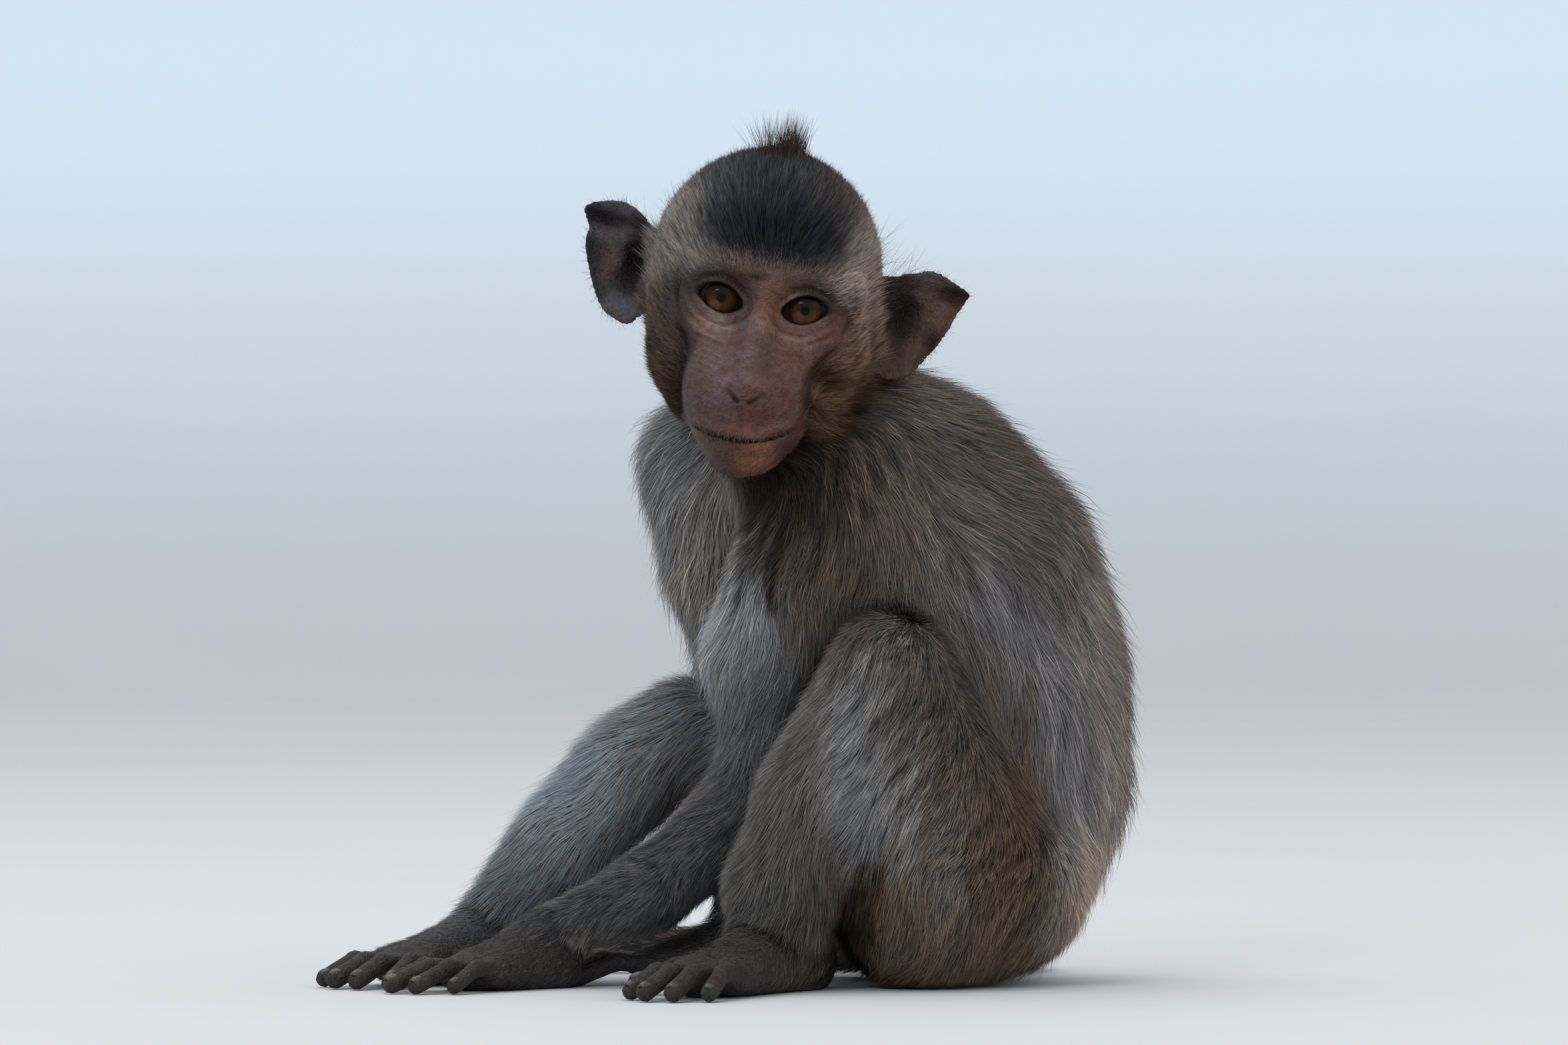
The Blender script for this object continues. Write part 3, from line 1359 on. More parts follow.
HEAD_PATCHES = (
    Patch(Tint.CAP, (0, 6, 21), (15, 26, 8), 7.0),
    Patch(Tint.CAP, (-1, 16, 36), (15, 28, 11), 6.0),
    Patch(Tint.CAP_DARK, (0.5, 3, 20.5), (12.5, 22, 7), 14.0),
    Patch(Tint.CAP_GREY, (-17, 18, 33), (7, 16, 10), 3.5),
    Patch(Tint.CAP_EDGE, (15, 20, 38), (8, 16, 9), 3.0),
    Patch(Tint.CAP, (-1, 40, 48), (18, 24, 10), 2.6),
    Patch(Tint.CREST, (-1, 32, 54), (9, 9, 5), 3.0),
    Patch(Tint.GRIZZLE, (-31, 18, 18), (11, 22, 20), 1.6),
    Patch(Tint.GRIZZLE, (-25, 8, 12), (6, 16, 5), 1.5),
    Patch(Tint.TEMPLE, (31, 18, 16), (10, 22, 20), 1.6),
    Patch(Tint.TEMPLE, (24, 8, 10), (6, 16, 5), 1.5),
    Patch(Tint.BROW_HAIR, (36, 20, 10), (6, 20, 8), 2.0),
    Patch(Tint.BROW_HAIR, (0, -2, 9.5), (24, 14, 3.6), 1.6),
    Patch(Tint.CHEEK_GOLD, (30, 22, -11), (7, 22, 14), 2.4),
    Patch(Tint.HOLLOW, (22, 12, -19), (5, 16, 4), 5.0),
    Patch(Tint.CHEEK_DARK, (-31, 18, -3), (5, 22, 6), 1.4),
    Patch(Tint.SHADOW, (35, 24, -25), (6, 20, 8), 3.0),
    Patch(Tint.CHEEK_DARK, (-28, 18, -16), (10, 22, 20), 3.0),
    Patch(Tint.NAPE, (0, 74, 4), (40, 28, 40), 1.4),
    Patch(Tint.THROAT, (-12, 14, -50), (9, 20, 8), 2.0),
    Patch(Tint.HOLLOW, (-22, 10, -33), (4, 16, 9), 2.6),
    Patch(Tint.CHEEK_GOLD, (23, 18, -30), (4.5, 20, 7), 6.0),
    Patch(Tint.SHADOW, (20, 26, -45), (14, 20, 8), 4.0),
)

FACE_PATCHES = (
    Patch(Tint.FACE, (-4, 0, -9), (24, 30, 18), 0.4),
    Patch(Tint.FACE_WARM, (21, 0, -13), (9, 30, 9), 2.4),
    Patch(Tint.TEMPLE_SKIN, (25, 8, -1), (4, 16, 7), 1.6),
    Patch(Tint.SOCKET, (-24, 5, 2.5), (4.6, 14, 4), 1.6),
    Patch(Tint.SIDE_SKIN, (-28, 14, -12), (5.5, 16, 14), 1.8),
    Patch(Tint.LID, (13, 0, -4), (8, 12, 2.6), 1.1),
    Patch(Tint.LID, (-13, 0, -4), (8, 12, 2.6), 1.1),
    Patch(Tint.LID_RIDGE, (-15.5, 0, -9), (6, 14, 2.6), 1.3),
    Patch(Tint.LID_RIDGE, (13.5, 0, -9), (6.5, 14, 2.6), 1.3),
    Patch(Tint.LID_RIDGE, (6.5, -2, 3.2), (2.6, 12, 2.4)),
    Patch(Tint.BROW_SKIN, (0, 0, 9), (26, 16, 3), 1.3),
    Patch(Tint.BROW_FOLD, (-3, -4, 6.3), (3.4, 12, 0.9), 1.6),
    Patch(Tint.SOCKET, (-15, 0, 5.4), (8, 12, 2.0), 2.2),
    Patch(Tint.SOCKET, (18, 0, 4.2), (5, 12, 2.4), 1.6),
    Patch(Tint.BROW_FOLD, (14, 0, 6.6), (7, 12, 0.9), 0.8),
    Patch(Tint.BRIDGE_WARM, (3.2, -5, -0.5), (2.6, 14, 5.5), 1.8),
    Patch(Tint.BRIDGE_COOL, (-4.6, -5, -3.5), (2.3, 14, 7), 1.6),
    Patch(Tint.NOSE, (-2.5, -15, -18), (3.0, 14, 9), 2.0),
    Patch(Tint.CHIN_DARK, (3.5, -14, -17), (2.6, 14, 6), 1.6),
    Patch(Tint.MUZZLE, (-11, -12, -29), (9, 20, 8), 1.2),
    Patch(Tint.MUZZLE_WARM, (11, -12, -29), (9, 20, 9), 1.2),
    Patch(Tint.LIP, (2, -16, -36), (6, 20, 4), 1.2),
    Patch(Tint.CHIN_DARK, (-7, -8, -47), (6, 20, 6), 1.5),
    Patch(Tint.CHIN_DARK, (0, -8, -44.5), (12, 20, 1.6), 1.2),
    Patch(Tint.CHIN, (6.5, -8, -47.5), (5.5, 20, 4.2), 2.2),
    Patch(Tint.CHIN_DARK, (13, -4, -45), (3, 20, 6), 1.2),
    Patch(Tint.HOLLOW, (20.5, 6, -19), (3.4, 14, 3), 3.0),
    Patch(Tint.HOLLOW, (19.6, 6, -27), (1.6, 14, 7), 2.0),
    Patch(Tint.SIDE_SKIN, (-25, 10, -7), (4.5, 14, 8), 3.0),
    Patch(Tint.CREASE, (-20.6, 4, -20), (2.2, 14, 7), 2.4),
    Patch(Tint.CREASE, (-20.4, 8, -31), (1.5, 14, 7), 2.0),
    Patch(Tint.CREASE, (-23.5, 6, -14), (3.2, 14, 3), 1.6),
)

EAR_PATCHES = (
    Patch(Tint.EAR_COOL, (-48, 40, 4), (30, 40, 40), 0.5),
    Patch(Tint.EAR_SHEEN, (-50, 40, 14.2), (7, 40, 2.0), 2.2),
    Patch(Tint.EAR_FLESH, (-51, 40, 6), (2.4, 40, 5)),
    Patch(Tint.EAR_DARK, (-54, 40, 18.4), (5, 40, 2.2), 2.0),
    Patch(Tint.CONCHA, (-42, 40, 7), (3.4, 40, 8.5), 5.0),
    Patch(Tint.EAR_SHEEN, (-45, 40, -8), (4.5, 40, 3.5), 2.0),
    Patch(Tint.EAR_FLESH, (-38.6, 36, -1.5), (2, 12, 3.4), 4.0),
    Patch(Tint.EAR_SHEEN, (-47, 40, 23), (6, 40, 2.0), 2.0),
    Patch(Tint.EAR_WARM, (48, 40, 0), (30, 40, 40), 0.5),
    Patch(Tint.EAR_DARK, (55.5, 40, 11.4), (5.5, 40, 2.0), 1.8),
    Patch(Tint.EAR_FLESH, (51.5, 40, 5.5), (4.5, 40, 3.4), 2.2),
    Patch(Tint.EAR_FLESH, (46.5, 40, 11), (4, 40, 1.6), 1.4),
    Patch(Tint.CONCHA, (39.5, 40, 3.5), (3.6, 40, 7.5), 5.0),
    Patch(Tint.EAR_DARK, (50.4, 40, -4.6), (1.8, 40, 4), 1.2),
    Patch(Tint.EAR_FLESH, (45.5, 40, -6.2), (2.4, 40, 2.2), 0.9),
    Patch(Tint.EAR_SHEEN, (47, 40, 17), (6, 40, 1.6)),
    Patch(Tint.EAR_FLESH, (37.2, 36, -5), (2.2, 12, 3.4), 4.0),
)

STROKES = (
    Stroke((30, -40, 160), 26, (0.3, 0, -1.0), 1.0, 1.0, True),
    Stroke((60, -34, 160), 26, (0.75, 0, -0.9), 1.0, 1.1, True),
    Stroke((86, -10, 140), 26, (0.5, 0, -1.0), 1.0, 1.1, True),
    Stroke((80, 4, 166), 18, (0.7, 0, -0.75), 1.0, 1.3),
    Stroke((66, -40, 112), 24, (0.42, 0, -1.0), 1.3, 1.1, True),
    Stroke((84, -34, 74), 24, (0.18, 0, -1.0), 1.25, 1.1, True),
    Stroke((100, -10, 60), 26, (-0.1, 0, -1.0), 1.0, 1.0, True),
    Stroke((106, 10, 100), 20, (0.1, 0, -1.0), 1.0, 0.95),
    Stroke((-4, -50, 19), 9, (-0.5, -0.6, -0.6), 0.8, 0.5),
    Stroke((-88, 20, 18), 9, (-0.8, -0.3, -0.5), 0.8, 0.5),
    Stroke((-72, -28, 17), 9, (-0.9, -0.4, -0.3), 0.8, 0.55),
    Stroke((10, -42, 128), 20, (0.1, 0, -1.0)),
    Stroke((-8, -38, 106), 16, (-0.08, -0.1, -1.0), 1.45, 1.15),
    Stroke((-14, -26, 140), 18, (-0.12, 0, -1.0), 1.0, 1.1),
    Stroke((-38, 6, 160), 22, (-0.7, 0, -0.75), 1.1, 1.5),
    Stroke((-34, 8, 132), 18, (-0.35, 0, -1.0), 1.1, 1.2),
    Stroke((33, -44, 110), 18, (-0.35, -0.75, -0.5), 0.85, 0.85),
    Stroke((50, -46, 84), 22, (-0.5, -0.5, -0.75), 0.85, 0.9),
    Stroke((68, -44, 50), 24, (-0.8, 0, -0.75), 0.85, 0.9),
    Stroke((60, -40, 16), 24, (-0.6, 0, -0.8)),
    Stroke((24, -60, 66), 20, (-0.5, 0, -1.0), 1.2, 1.1),
    Stroke((4, -60, 44), 22, (-0.2, 0, -1.0), 1.15, 1.0),
    Stroke((16, -60, 24), 16, (-0.1, 0, -1.0), 1.2, 1.1),
    Stroke((-28, -26, 38), 18, (-0.5, 0, -0.9)),
    Stroke((-55, -30, 24), 18, (-0.65, 0, -0.75), 0.9, 1.0),
    Stroke((-30, 14, 84), 20, (-0.85, 0, -0.35)),
    Stroke((-64, 12, 52), 24, (-0.7, 0, -0.75), 1.2, 1.15),
)


@dataclass
class Coatings:
    """The markings and the lie of the coat, read anywhere on the animal."""

    figure: Figure

    def blended(self, patches: Iterable[Patch], points: Array, mirrored: bool) -> tuple[Array, Array]:
        """Returns the weighted sum of the patches' colours at the points, and the sum of their weights.

        Args:
            patches: the patches of colour.
            points: where they are read.
            mirrored: whether patches marked as on both sides count on the far side too.

        Returns:
            The sums of the colours and of the weights.
        """
        total = np.zeros((len(points), 3), np.float32)
        weight = np.full(len(points), 1e-5, np.float32)
        for patch in patches:
            places = [patch.at, across_body(patch.at)] if mirrored and patch.both else [patch.at]
            for at in places:
                off = np.square((points - rows(at)) / rows(patch.reach)).sum(1)
                share = patch.strength * np.exp(-off)
                total += share[:, None] * rows(patch.tint.value)
                weight += share
        return total, weight

    def tint(self, points: Array) -> Array:
        """Returns the coat's colour at places on the animal, wavering a little between patches.

        Args:
            points: where it is read.

        Returns:
            One colour a point.
        """
        moved = points + wander(points, 9.0, 5) * 2.2
        total, weight = self.blended(BODY_PATCHES, moved, True)
        local = self.figure.stance.into_head(points)
        on_head = smoothstep(7, 2, self.figure.head.distance(points))
        head_moved = local + wander(local, 6.0, 8) * rows((1.3, 1.3, 1.3))
        head_total, head_weight = self.blended(HEAD_PATCHES, head_moved, False)
        body = (total + 1e-3 * rows(Tint.BACK.value)) / (weight + 1e-3)[:, None]
        head = (head_total + 1e-3 * rows(Tint.NAPE.value)) / (head_weight + 1e-3)[:, None]
        return body + (head - body) * on_head[:, None]

    def bare_tint(self, points: Array) -> Array:
        """Returns the bare skin's colour at places on the face.

        Args:
            points: where it is read.

        Returns:
            One colour a point, with the rims of the lids, the lips and the nostrils.
        """
        local = self.figure.stance.into_head(points)
        total, weight = self.blended(FACE_PATCHES, local + wander(local, 5.0, 3) * 0.8, False)
        colour = total / weight[:, None]
        u, y, v = local.T
        eyes = self.figure.face.eyes
        colour = colour * (1 + 0.6 * np.clip(self.figure.face.relief(local), -1, 0.35))[:, None]
        rim = np.zeros(len(points), np.float32)
        for side in SIDES:
            gap = eyes.opening(local, side)
            outer = smoothstep(3, 9, side * u - eyes.at[0]) * smoothstep(-3.5, 0, v)
            below = smoothstep(-2, -5, v)
            outside, inside = 0.95 + 1.9 * outer - 0.4 * below, 0.3 + 0.6 * outer - 0.2 * below
            rim = np.maximum(rim, smoothstep(outside, inside, gap))
        lips = np.abs(v - self.figure.face.mouth_line(u)) + smoothstep(11, 15, np.abs(u)) * 2
        lips = lips + smoothstep(4, 10, y) * 9
        parted = smoothstep(1.1, 0.3, lips) * smoothstep(9, -6, u) * 0.35
        parted = parted + smoothstep(0.8, 0.1, lips) * 0.3
        slit, share = Face.nostril(u, v)
        nostril = smoothstep(1.2, 0.2, slit) * (0.62 - 0.3 * share) * smoothstep(0, -6, y)
        for shade in (rim * smoothstep(10, 8, y), parted, nostril):
            colour = colour + (rows(Tint.RIM.value) - colour) * shade[:, None]
        return colour

    def ear_tint(self, points: Array) -> Array:
        """Returns the ears' colour: dark bare skin, darkest in the hollow beside the head."""
        local = self.figure.stance.into_head(points)
        total, weight = self.blended(EAR_PATCHES, local + wander(local, 4.0, 6) * 0.6, False)
        return total / weight[:, None]

    def lie(self, points: Array, normals: Array, shares: Array) -> tuple[Array, Array, Array]:
        """Works out how the coat lies.

        Args:
            points: the roots.
            normals: the skin's normals there.
            shares: how much each bone counts there.

        Returns:
            The way the locks point, how many times the usual length they are, and how high they stand.
        """
        figure = self.figure
        lies = rows([bone.lie for bone in figure.bones])
        on_head = figure.bones_in(Region.HEAD)
        way = unit(shares[~on_head].T @ lies[~on_head] + 1e-6)
        stretch = np.ones(len(points), np.float32)
        lift = np.ones(len(points), np.float32)
        for stroke in STROKES:
            for at in [stroke.at, across_body(stroke.at)] if stroke.both else [stroke.at]:
                near = np.exp(-np.square(points - rows(at)).sum(1) / stroke.reach**2)
                way = way + 3.5 * near[:, None] * unit(rows(stroke.lie))
                stretch = stretch + near * (stroke.stretch - 1)
                lift = lift + near * (stroke.lift - 1)
        local = figure.stance.into_head(points)
        fan = np.stack([2.3 * local[:, 0], local[:, 1] + 25, local[:, 2] + 45], axis=1)
        head_way = unit(fan) @ figure.stance.axes().T
        head_share = shares[on_head].sum(0)[:, None]
        way = unit(way) * (1 - head_share) + head_way * head_share
        short = (1 - smoothstep(-1.5, 11, Face.fringe(local))) * head_share[:, 0]
        return turned(way, normals), stretch * (1 - 0.66 * short), lift * (1 - 0.7 * short)


# === Node graphs ===


class Graph:
    """Adds nodes to a shader or geometry tree."""

    def __init__(self, tree: bpy.types.NodeTree) -> None:
        """Keeps the tree, emptied."""
        self.tree = tree
        tree.nodes.clear()

    def node(
        self, kind: str, settings: Settings | None = None, sockets: Sockets | None = None,
        output: str | int = 0,
    ) -> "Wire":
        """Adds one node.

        Args:
            kind: the node's type.
            settings: its properties, set before its sockets are touched; a ramp's stops go under "stops".
            sockets: values or wires for its inputs, by name or number.
            output: which of its outputs is wanted.

        Returns:
            That output.
        """
        made = self.tree.nodes.new(kind)
        for name, value in (settings or {}).items():
            if name == "stops":
                self.lay_stops(made.color_ramp, value)
            else:
                setattr(made, name, value)
        for name, value in (sockets or {}).items():
            if isinstance(value, Wire):
                self.tree.links.new(value.socket, made.inputs[name])
            else:
                made.inputs[name].default_value = value
        return Wire(self, made.outputs[output]) if len(made.outputs) else Wire(self, None)

    @staticmethod
    def lay_stops(ramp: bpy.types.ColorRamp, stops: Sequence[tuple[float, Sequence[float]]]) -> None:
        """Gives a colour ramp its stops, each a position and a colour."""
        while len(ramp.elements) > 1:
            ramp.elements.remove(ramp.elements[0])
        ramp.elements[0].position, ramp.elements[0].color = stops[0][0], (*stops[0][1], 1)
        for position, colour in stops[1:]:
            ramp.elements.new(position).color = (*colour, 1)

    def math(self, operation: str, *values: Any) -> "Wire":
        """Returns a Math node's result."""
        return self.node("ShaderNodeMath", {"operation": operation}, dict(enumerate(values)))

    def vector(self, operation: str, *values: Any, output: int = 0, **named: Any) -> "Wire":
        """Returns a Vector Math node's result; a scale is given by name."""
        sockets = {**dict(enumerate(values)), **named}
        return self.node("ShaderNodeVectorMath", {"operation": operation}, sockets, output)

    def mix(self, share: Any, a: Any, b: Any) -> "Wire":
        """Returns the colour share of the way from a to b."""
        a, b = ((*value, 1) if isinstance(value, tuple) else value for value in (a, b))
        return self.node("ShaderNodeMix", {"data_type": "RGBA"}, {0: share, 6: a, 7: b}, 2)

    def read(self, name: str, output: str = "Fac") -> "Wire":
        """Returns a mesh attribute's value in a shader."""
        return self.node("ShaderNodeAttribute", {"attribute_name": name}, None, output)

    def place(self) -> "Wire":
        """Returns the object's own coordinates in a shader."""
        return self.node("ShaderNodeTexCoord", None, None, "Object")

    def noise(self, scale: float, detail: float = 2.0, where: "Wire | None" = None) -> "Wire":
        """Returns a noise over the object."""
        sockets = {"Vector": where or self.place(), "Scale": scale, "Detail": detail}
        return self.node("ShaderNodeTexNoise", None, sockets, "Fac")

    def step(self, value: "Wire", low: float, high: float) -> "Wire":
        """Returns 0 below low, 1 above high and a smooth rise between."""
        sockets = {0: value, 1: low, 2: high, 3: 0.0, 4: 1.0}
        return self.node("ShaderNodeMapRange", {"interpolation_type": "SMOOTHSTEP"}, sockets)

    def bumped(self, height: "Wire", distance: float, strength: float = 1.0) -> "Wire":
        """Returns normals bent by a height given in shares of a distance in metres."""
        sockets = {"Height": height, "Distance": distance, "Strength": strength}
        return self.node("ShaderNodeBump", None, sockets)


@dataclass
class Wire:
    """An output socket that takes part in arithmetic."""

    graph: Graph
    socket: bpy.types.NodeSocket | None

    def __add__(self, other: Any) -> "Wire":
        """Returns the sum."""
        return self.graph.math("ADD", self, other)

    def __sub__(self, other: Any) -> "Wire":
        """Returns the difference."""
        return self.graph.math("SUBTRACT", self, other)

    def __mul__(self, other: Any) -> "Wire":
        """Returns the product."""
        return self.graph.math("MULTIPLY", self, other)

    def __truediv__(self, other: Any) -> "Wire":
        """Returns the quotient."""
        return self.graph.math("DIVIDE", self, other)

    def __rsub__(self, other: Any) -> "Wire":
        """Returns a number less this."""
        return self.graph.math("SUBTRACT", other, self)

    def __rtruediv__(self, other: Any) -> "Wire":
        """Returns a number over this."""
        return self.graph.math("DIVIDE", other, self)

    __radd__ = __add__
    __rmul__ = __mul__

    def scaled(self, amount: Any) -> "Wire":
        """Returns this colour or vector times a number."""
        return self.graph.vector("SCALE", self, Scale=amount)


# === Finishes ===


class Finish(ABC):
    """A surface's look, made into a material once."""

    name: str

    def material(self) -> bpy.types.Material:
        """Returns the finish's material, built the first time it is asked for."""
        made = bpy.data.materials.get(self.name)
        if made is None:
            made = bpy.data.materials.new(self.name)
            made.use_nodes = True
            graph = Graph(made.node_tree)
            surface = graph.node("ShaderNodeBsdfPrincipled", None, self.sockets(graph))
            graph.node("ShaderNodeOutputMaterial", None, {"Surface": surface})
        return made

    @abstractmethod
    def sockets(self, graph: Graph) -> dict[str, Any]:
        """Returns what goes into the shader's sockets.

        Args:
            graph: the material's nodes, where the sockets' wires come from.

        Returns:
            A value or a wire for each socket that isn't left alone.
        """


@dataclass(frozen=True)
class HairFinish(Finish):
    """Hair: dark at the root, banded and paler near the tip, each lock its own shade.

    Attributes:
        name: the material's name.
        root: the root's brightness against the lock's own colour.
        tip: the tip's brightness.
        ticking: how much a golden band near the tip shows.
        spread: how far locks differ in brightness.
        gain: times the brightness of the coat's colours.
    """

    name: str
    root: float = 0.35
    tip: float = 1.5
    ticking: float = 0.35
    spread: float = 0.9
    gain: float = 1.0

    def sockets(self, graph: Graph) -> dict[str, Any]:
        """Returns the hair's sockets."""
        along, luck, across = graph.read("along"), graph.read("luck"), graph.read("across")
        strand = {0: across * 5 + luck * 91, 1: along * 0.7, 2: luck * 37}
        strand = graph.node("ShaderNodeCombineXYZ", None, strand)
        lines = graph.noise(1.6, 1.0, strand)
        rise = graph.step(along, 0.0, 0.85)
        shade = (self.root + rise * (self.tip - self.root)) * (1 - self.spread / 2 + luck * self.spread)
        shade = shade * (0.62 + lines * 0.76)
        base = graph.read("tint", "Color").scaled(shade * self.gain)
        band = graph.step(along, 0.5, 0.72) * graph.step(along, 0.98, 0.8) * graph.step(luck, 0.45, 0.75)
        golden = graph.vector("MULTIPLY", base, (1.75, 1.5, 1.12))
        return {
            "Base Color": graph.mix(band * self.ticking, base, golden),
            "Roughness": 0.5 + lines * 0.25,
            "Specular IOR Level": 0.0,
        }


@dataclass(frozen=True)
class SkinFinish(Finish):
    """Bare skin: mottled, pored and finely wrinkled; where the coat grows it is the coat's dark base."""

    name: str = "skin"

    def sockets(self, graph: Graph) -> dict[str, Any]:
        """Returns the skin's sockets."""
        tint = graph.read("tint", "Color")
        blotch = graph.noise(150.0, 3.0)
        mottle = graph.noise(520.0, 3.0)
        speck = graph.step(graph.noise(700.0, 2.0), 0.57, 0.68)
        pores = {"Vector": graph.place(), "Scale": 1500.0}
        pores = graph.node("ShaderNodeTexVoronoi", None, pores, "Distance")
        creases = graph.noise(800.0, 4.0)
        shaded = tint.scaled((0.45 + blotch * 1.1) * (0.4 + mottle * 1.2))
        warm = graph.vector("MULTIPLY", shaded, (1.08, 0.92, 0.84))
        cool = graph.vector("MULTIPLY", shaded, (0.96, 0.98, 1.0))
        colour = graph.mix(graph.step(blotch, 0.4, 0.62), warm, cool)
        dark = graph.vector("MULTIPLY", colour, (0.4, 0.36, 0.38))
        colour = graph.mix(speck * 0.35, colour, dark)
        return {
            "Base Color": colour,
            "Roughness": 0.46 + mottle * 0.24,
            "Specular IOR Level": 0.16,
            "Normal": graph.bumped(creases * 0.7 + pores * 0.4 + mottle, 0.001, 0.9),
        }


@dataclass(frozen=True)
class EyeFinish(Finish):
    """An eye: dark pupil, golden-brown fibres, a dark ring and dark outer skin, under a wet coat."""

    name: str = "eye_wet"
    pupil: float = 0.16
    iris: float = 0.625

    def sockets(self, graph: Graph) -> dict[str, Any]:
        """Returns the eye's sockets; the map "gaze" gives places over the front in shares of the radius."""
        gaze = graph.node("ShaderNodeUVMap", {"uv_map": "gaze"})
        radius = graph.vector("LENGTH", gaze, output=1)
        spoke = graph.vector("NORMALIZE", gaze)
        fibres = graph.noise(1.0, 3.0, graph.vector("ADD", spoke.scaled(9.0), gaze.scaled(1.6)))
        stops = (
            (0.0, (0.010, 0.004, 0.002)), (0.32, (0.030, 0.011, 0.004)), (0.60, (0.050, 0.018, 0.006)),
            (0.84, (0.030, 0.010, 0.003)), (1.0, (0.004, 0.002, 0.002)),
        )
        ring = graph.node("ShaderNodeValToRGB", {"stops": stops}, {"Fac": radius / self.iris}, "Color")
        low = graph.node("ShaderNodeSeparateXYZ", None, {0: gaze}, 1)
        glow = graph.step(graph.vector("DISTANCE", gaze, (0.24, -0.26, 0.0), output=1), 0.3, 0.12)
        iris = ring.scaled((0.35 + fibres * 1.1) * (1.0 - low * 2.2))
        iris = graph.mix(glow * 0.5, iris, (0.115, 0.058, 0.034))
        white = graph.mix(graph.noise(500.0, 3.0), (0.014, 0.009, 0.007), (0.034, 0.022, 0.017))
        in_pupil = graph.step(radius, self.pupil + 0.02, self.pupil - 0.012)
        colour = graph.mix(graph.step(radius, self.iris - 0.02, self.iris + 0.03), iris, white)
        colour = graph.mix(in_pupil, colour, (0.002, 0.002, 0.002))
        return {
            "Base Color": colour,
            "Roughness": 0.4 + fibres * 0.2,
            "Specular IOR Level": 0.0,
            "Coat Weight": 0.36,
            "Coat Roughness": 0.02,
            "Coat IOR": 1.33,
        }


@dataclass(frozen=True)
class NailFinish(Finish):
    """Nails: dark brown horn with lengthwise ridges."""

    name: str = "nail_horn"

    def sockets(self, graph: Graph) -> dict[str, Any]:
        """Returns the nails' sockets."""
        ridges, cloud = graph.noise(1800.0, 2.0), graph.noise(300.0)
        return {
            "Base Color": graph.mix(cloud, (0.02, 0.015, 0.012), (0.06, 0.045, 0.035)),
            "Roughness": 0.28 + ridges * 0.2,
            "Normal": graph.bumped(ridges, 0.0001, 0.4),
        }


@dataclass(frozen=True)
class FloorFinish(Finish):
    """A pale matt floor that curves up into the backdrop."""

    name: str = "studio_floor"

    def sockets(self, graph: Graph) -> dict[str, Any]:
        """Returns the floor's sockets."""
        cloud = graph.noise(3.0, 3.0)
        height = graph.node("ShaderNodeSeparateXYZ", None, {0: graph.place()}, 2)
        ground = graph.mix(cloud, (0.56, 0.57, 0.585), (0.6, 0.61, 0.625))
        return {
            "Base Color": graph.mix(graph.step(height, 0.0, 0.6), ground, (0.8, 0.9, 0.98)),
            "Roughness": 0.75 + cloud * 0.1,
            "Specular IOR Level": 0.2,
        }


# === Coat ===


class LockKind(Enum):
    """How many lengths a lock has between its root and its tip."""

    FINE = 1
    SHORT = 2
    LONG = 3


def lock_mesh(kind: LockKind) -> bpy.types.Mesh:
    """Returns one closed lock along z, three-sided and tapering to a point.

    Its attributes tell the coat's tree which of the guide's points each corner follows ("rung"), where it
    sits in the cross-section ("section"), and where it lands in the tuft's patch of the bake map ("print").

    Args:
        kind: how many lengths it has.

    Returns:
        The mesh.
    """
    lengths = kind.value
    girths = {1: (1.0,), 2: (0.7, 1.0), 3: (0.6, 1.0, 0.72)}[lengths]
    profile = ((-0.5, -0.12), (0.0, 0.42), (0.5, -0.12))
    corners = [(ring, x, x * girth, y * girth) for ring, girth in enumerate(girths) for x, y in profile]
    rings, across, x, y = rows([*corners, (lengths, 0, 0, 0)]).T
    section = np.stack([x, y, 0 * x], 1)
    along = rings / lengths
    faces = [(0, 1, 2)]
    for ring in range(lengths - 1):
        for k in range(3):
            a, b = ring * 3 + k, ring * 3 + (k + 1) % 3
            faces += [(a, b + 3, b), (a, a + 3, b + 3)]
    tip, last = 3 * lengths, 3 * (lengths - 1)
    faces += [(last + k, tip, last + (k + 1) % 3) for k in range(3)]
    mesh = mesh_of(f"lock_{kind.name.lower()}", section, np.array(faces))
    rung, prints = np.eye(4)[rings.astype(int), 1:], np.stack([across + 0.5, along, 0 * along], 1)
    paint(mesh, section=section, rung=rung, along=along, across=x, print=prints)
    return mesh


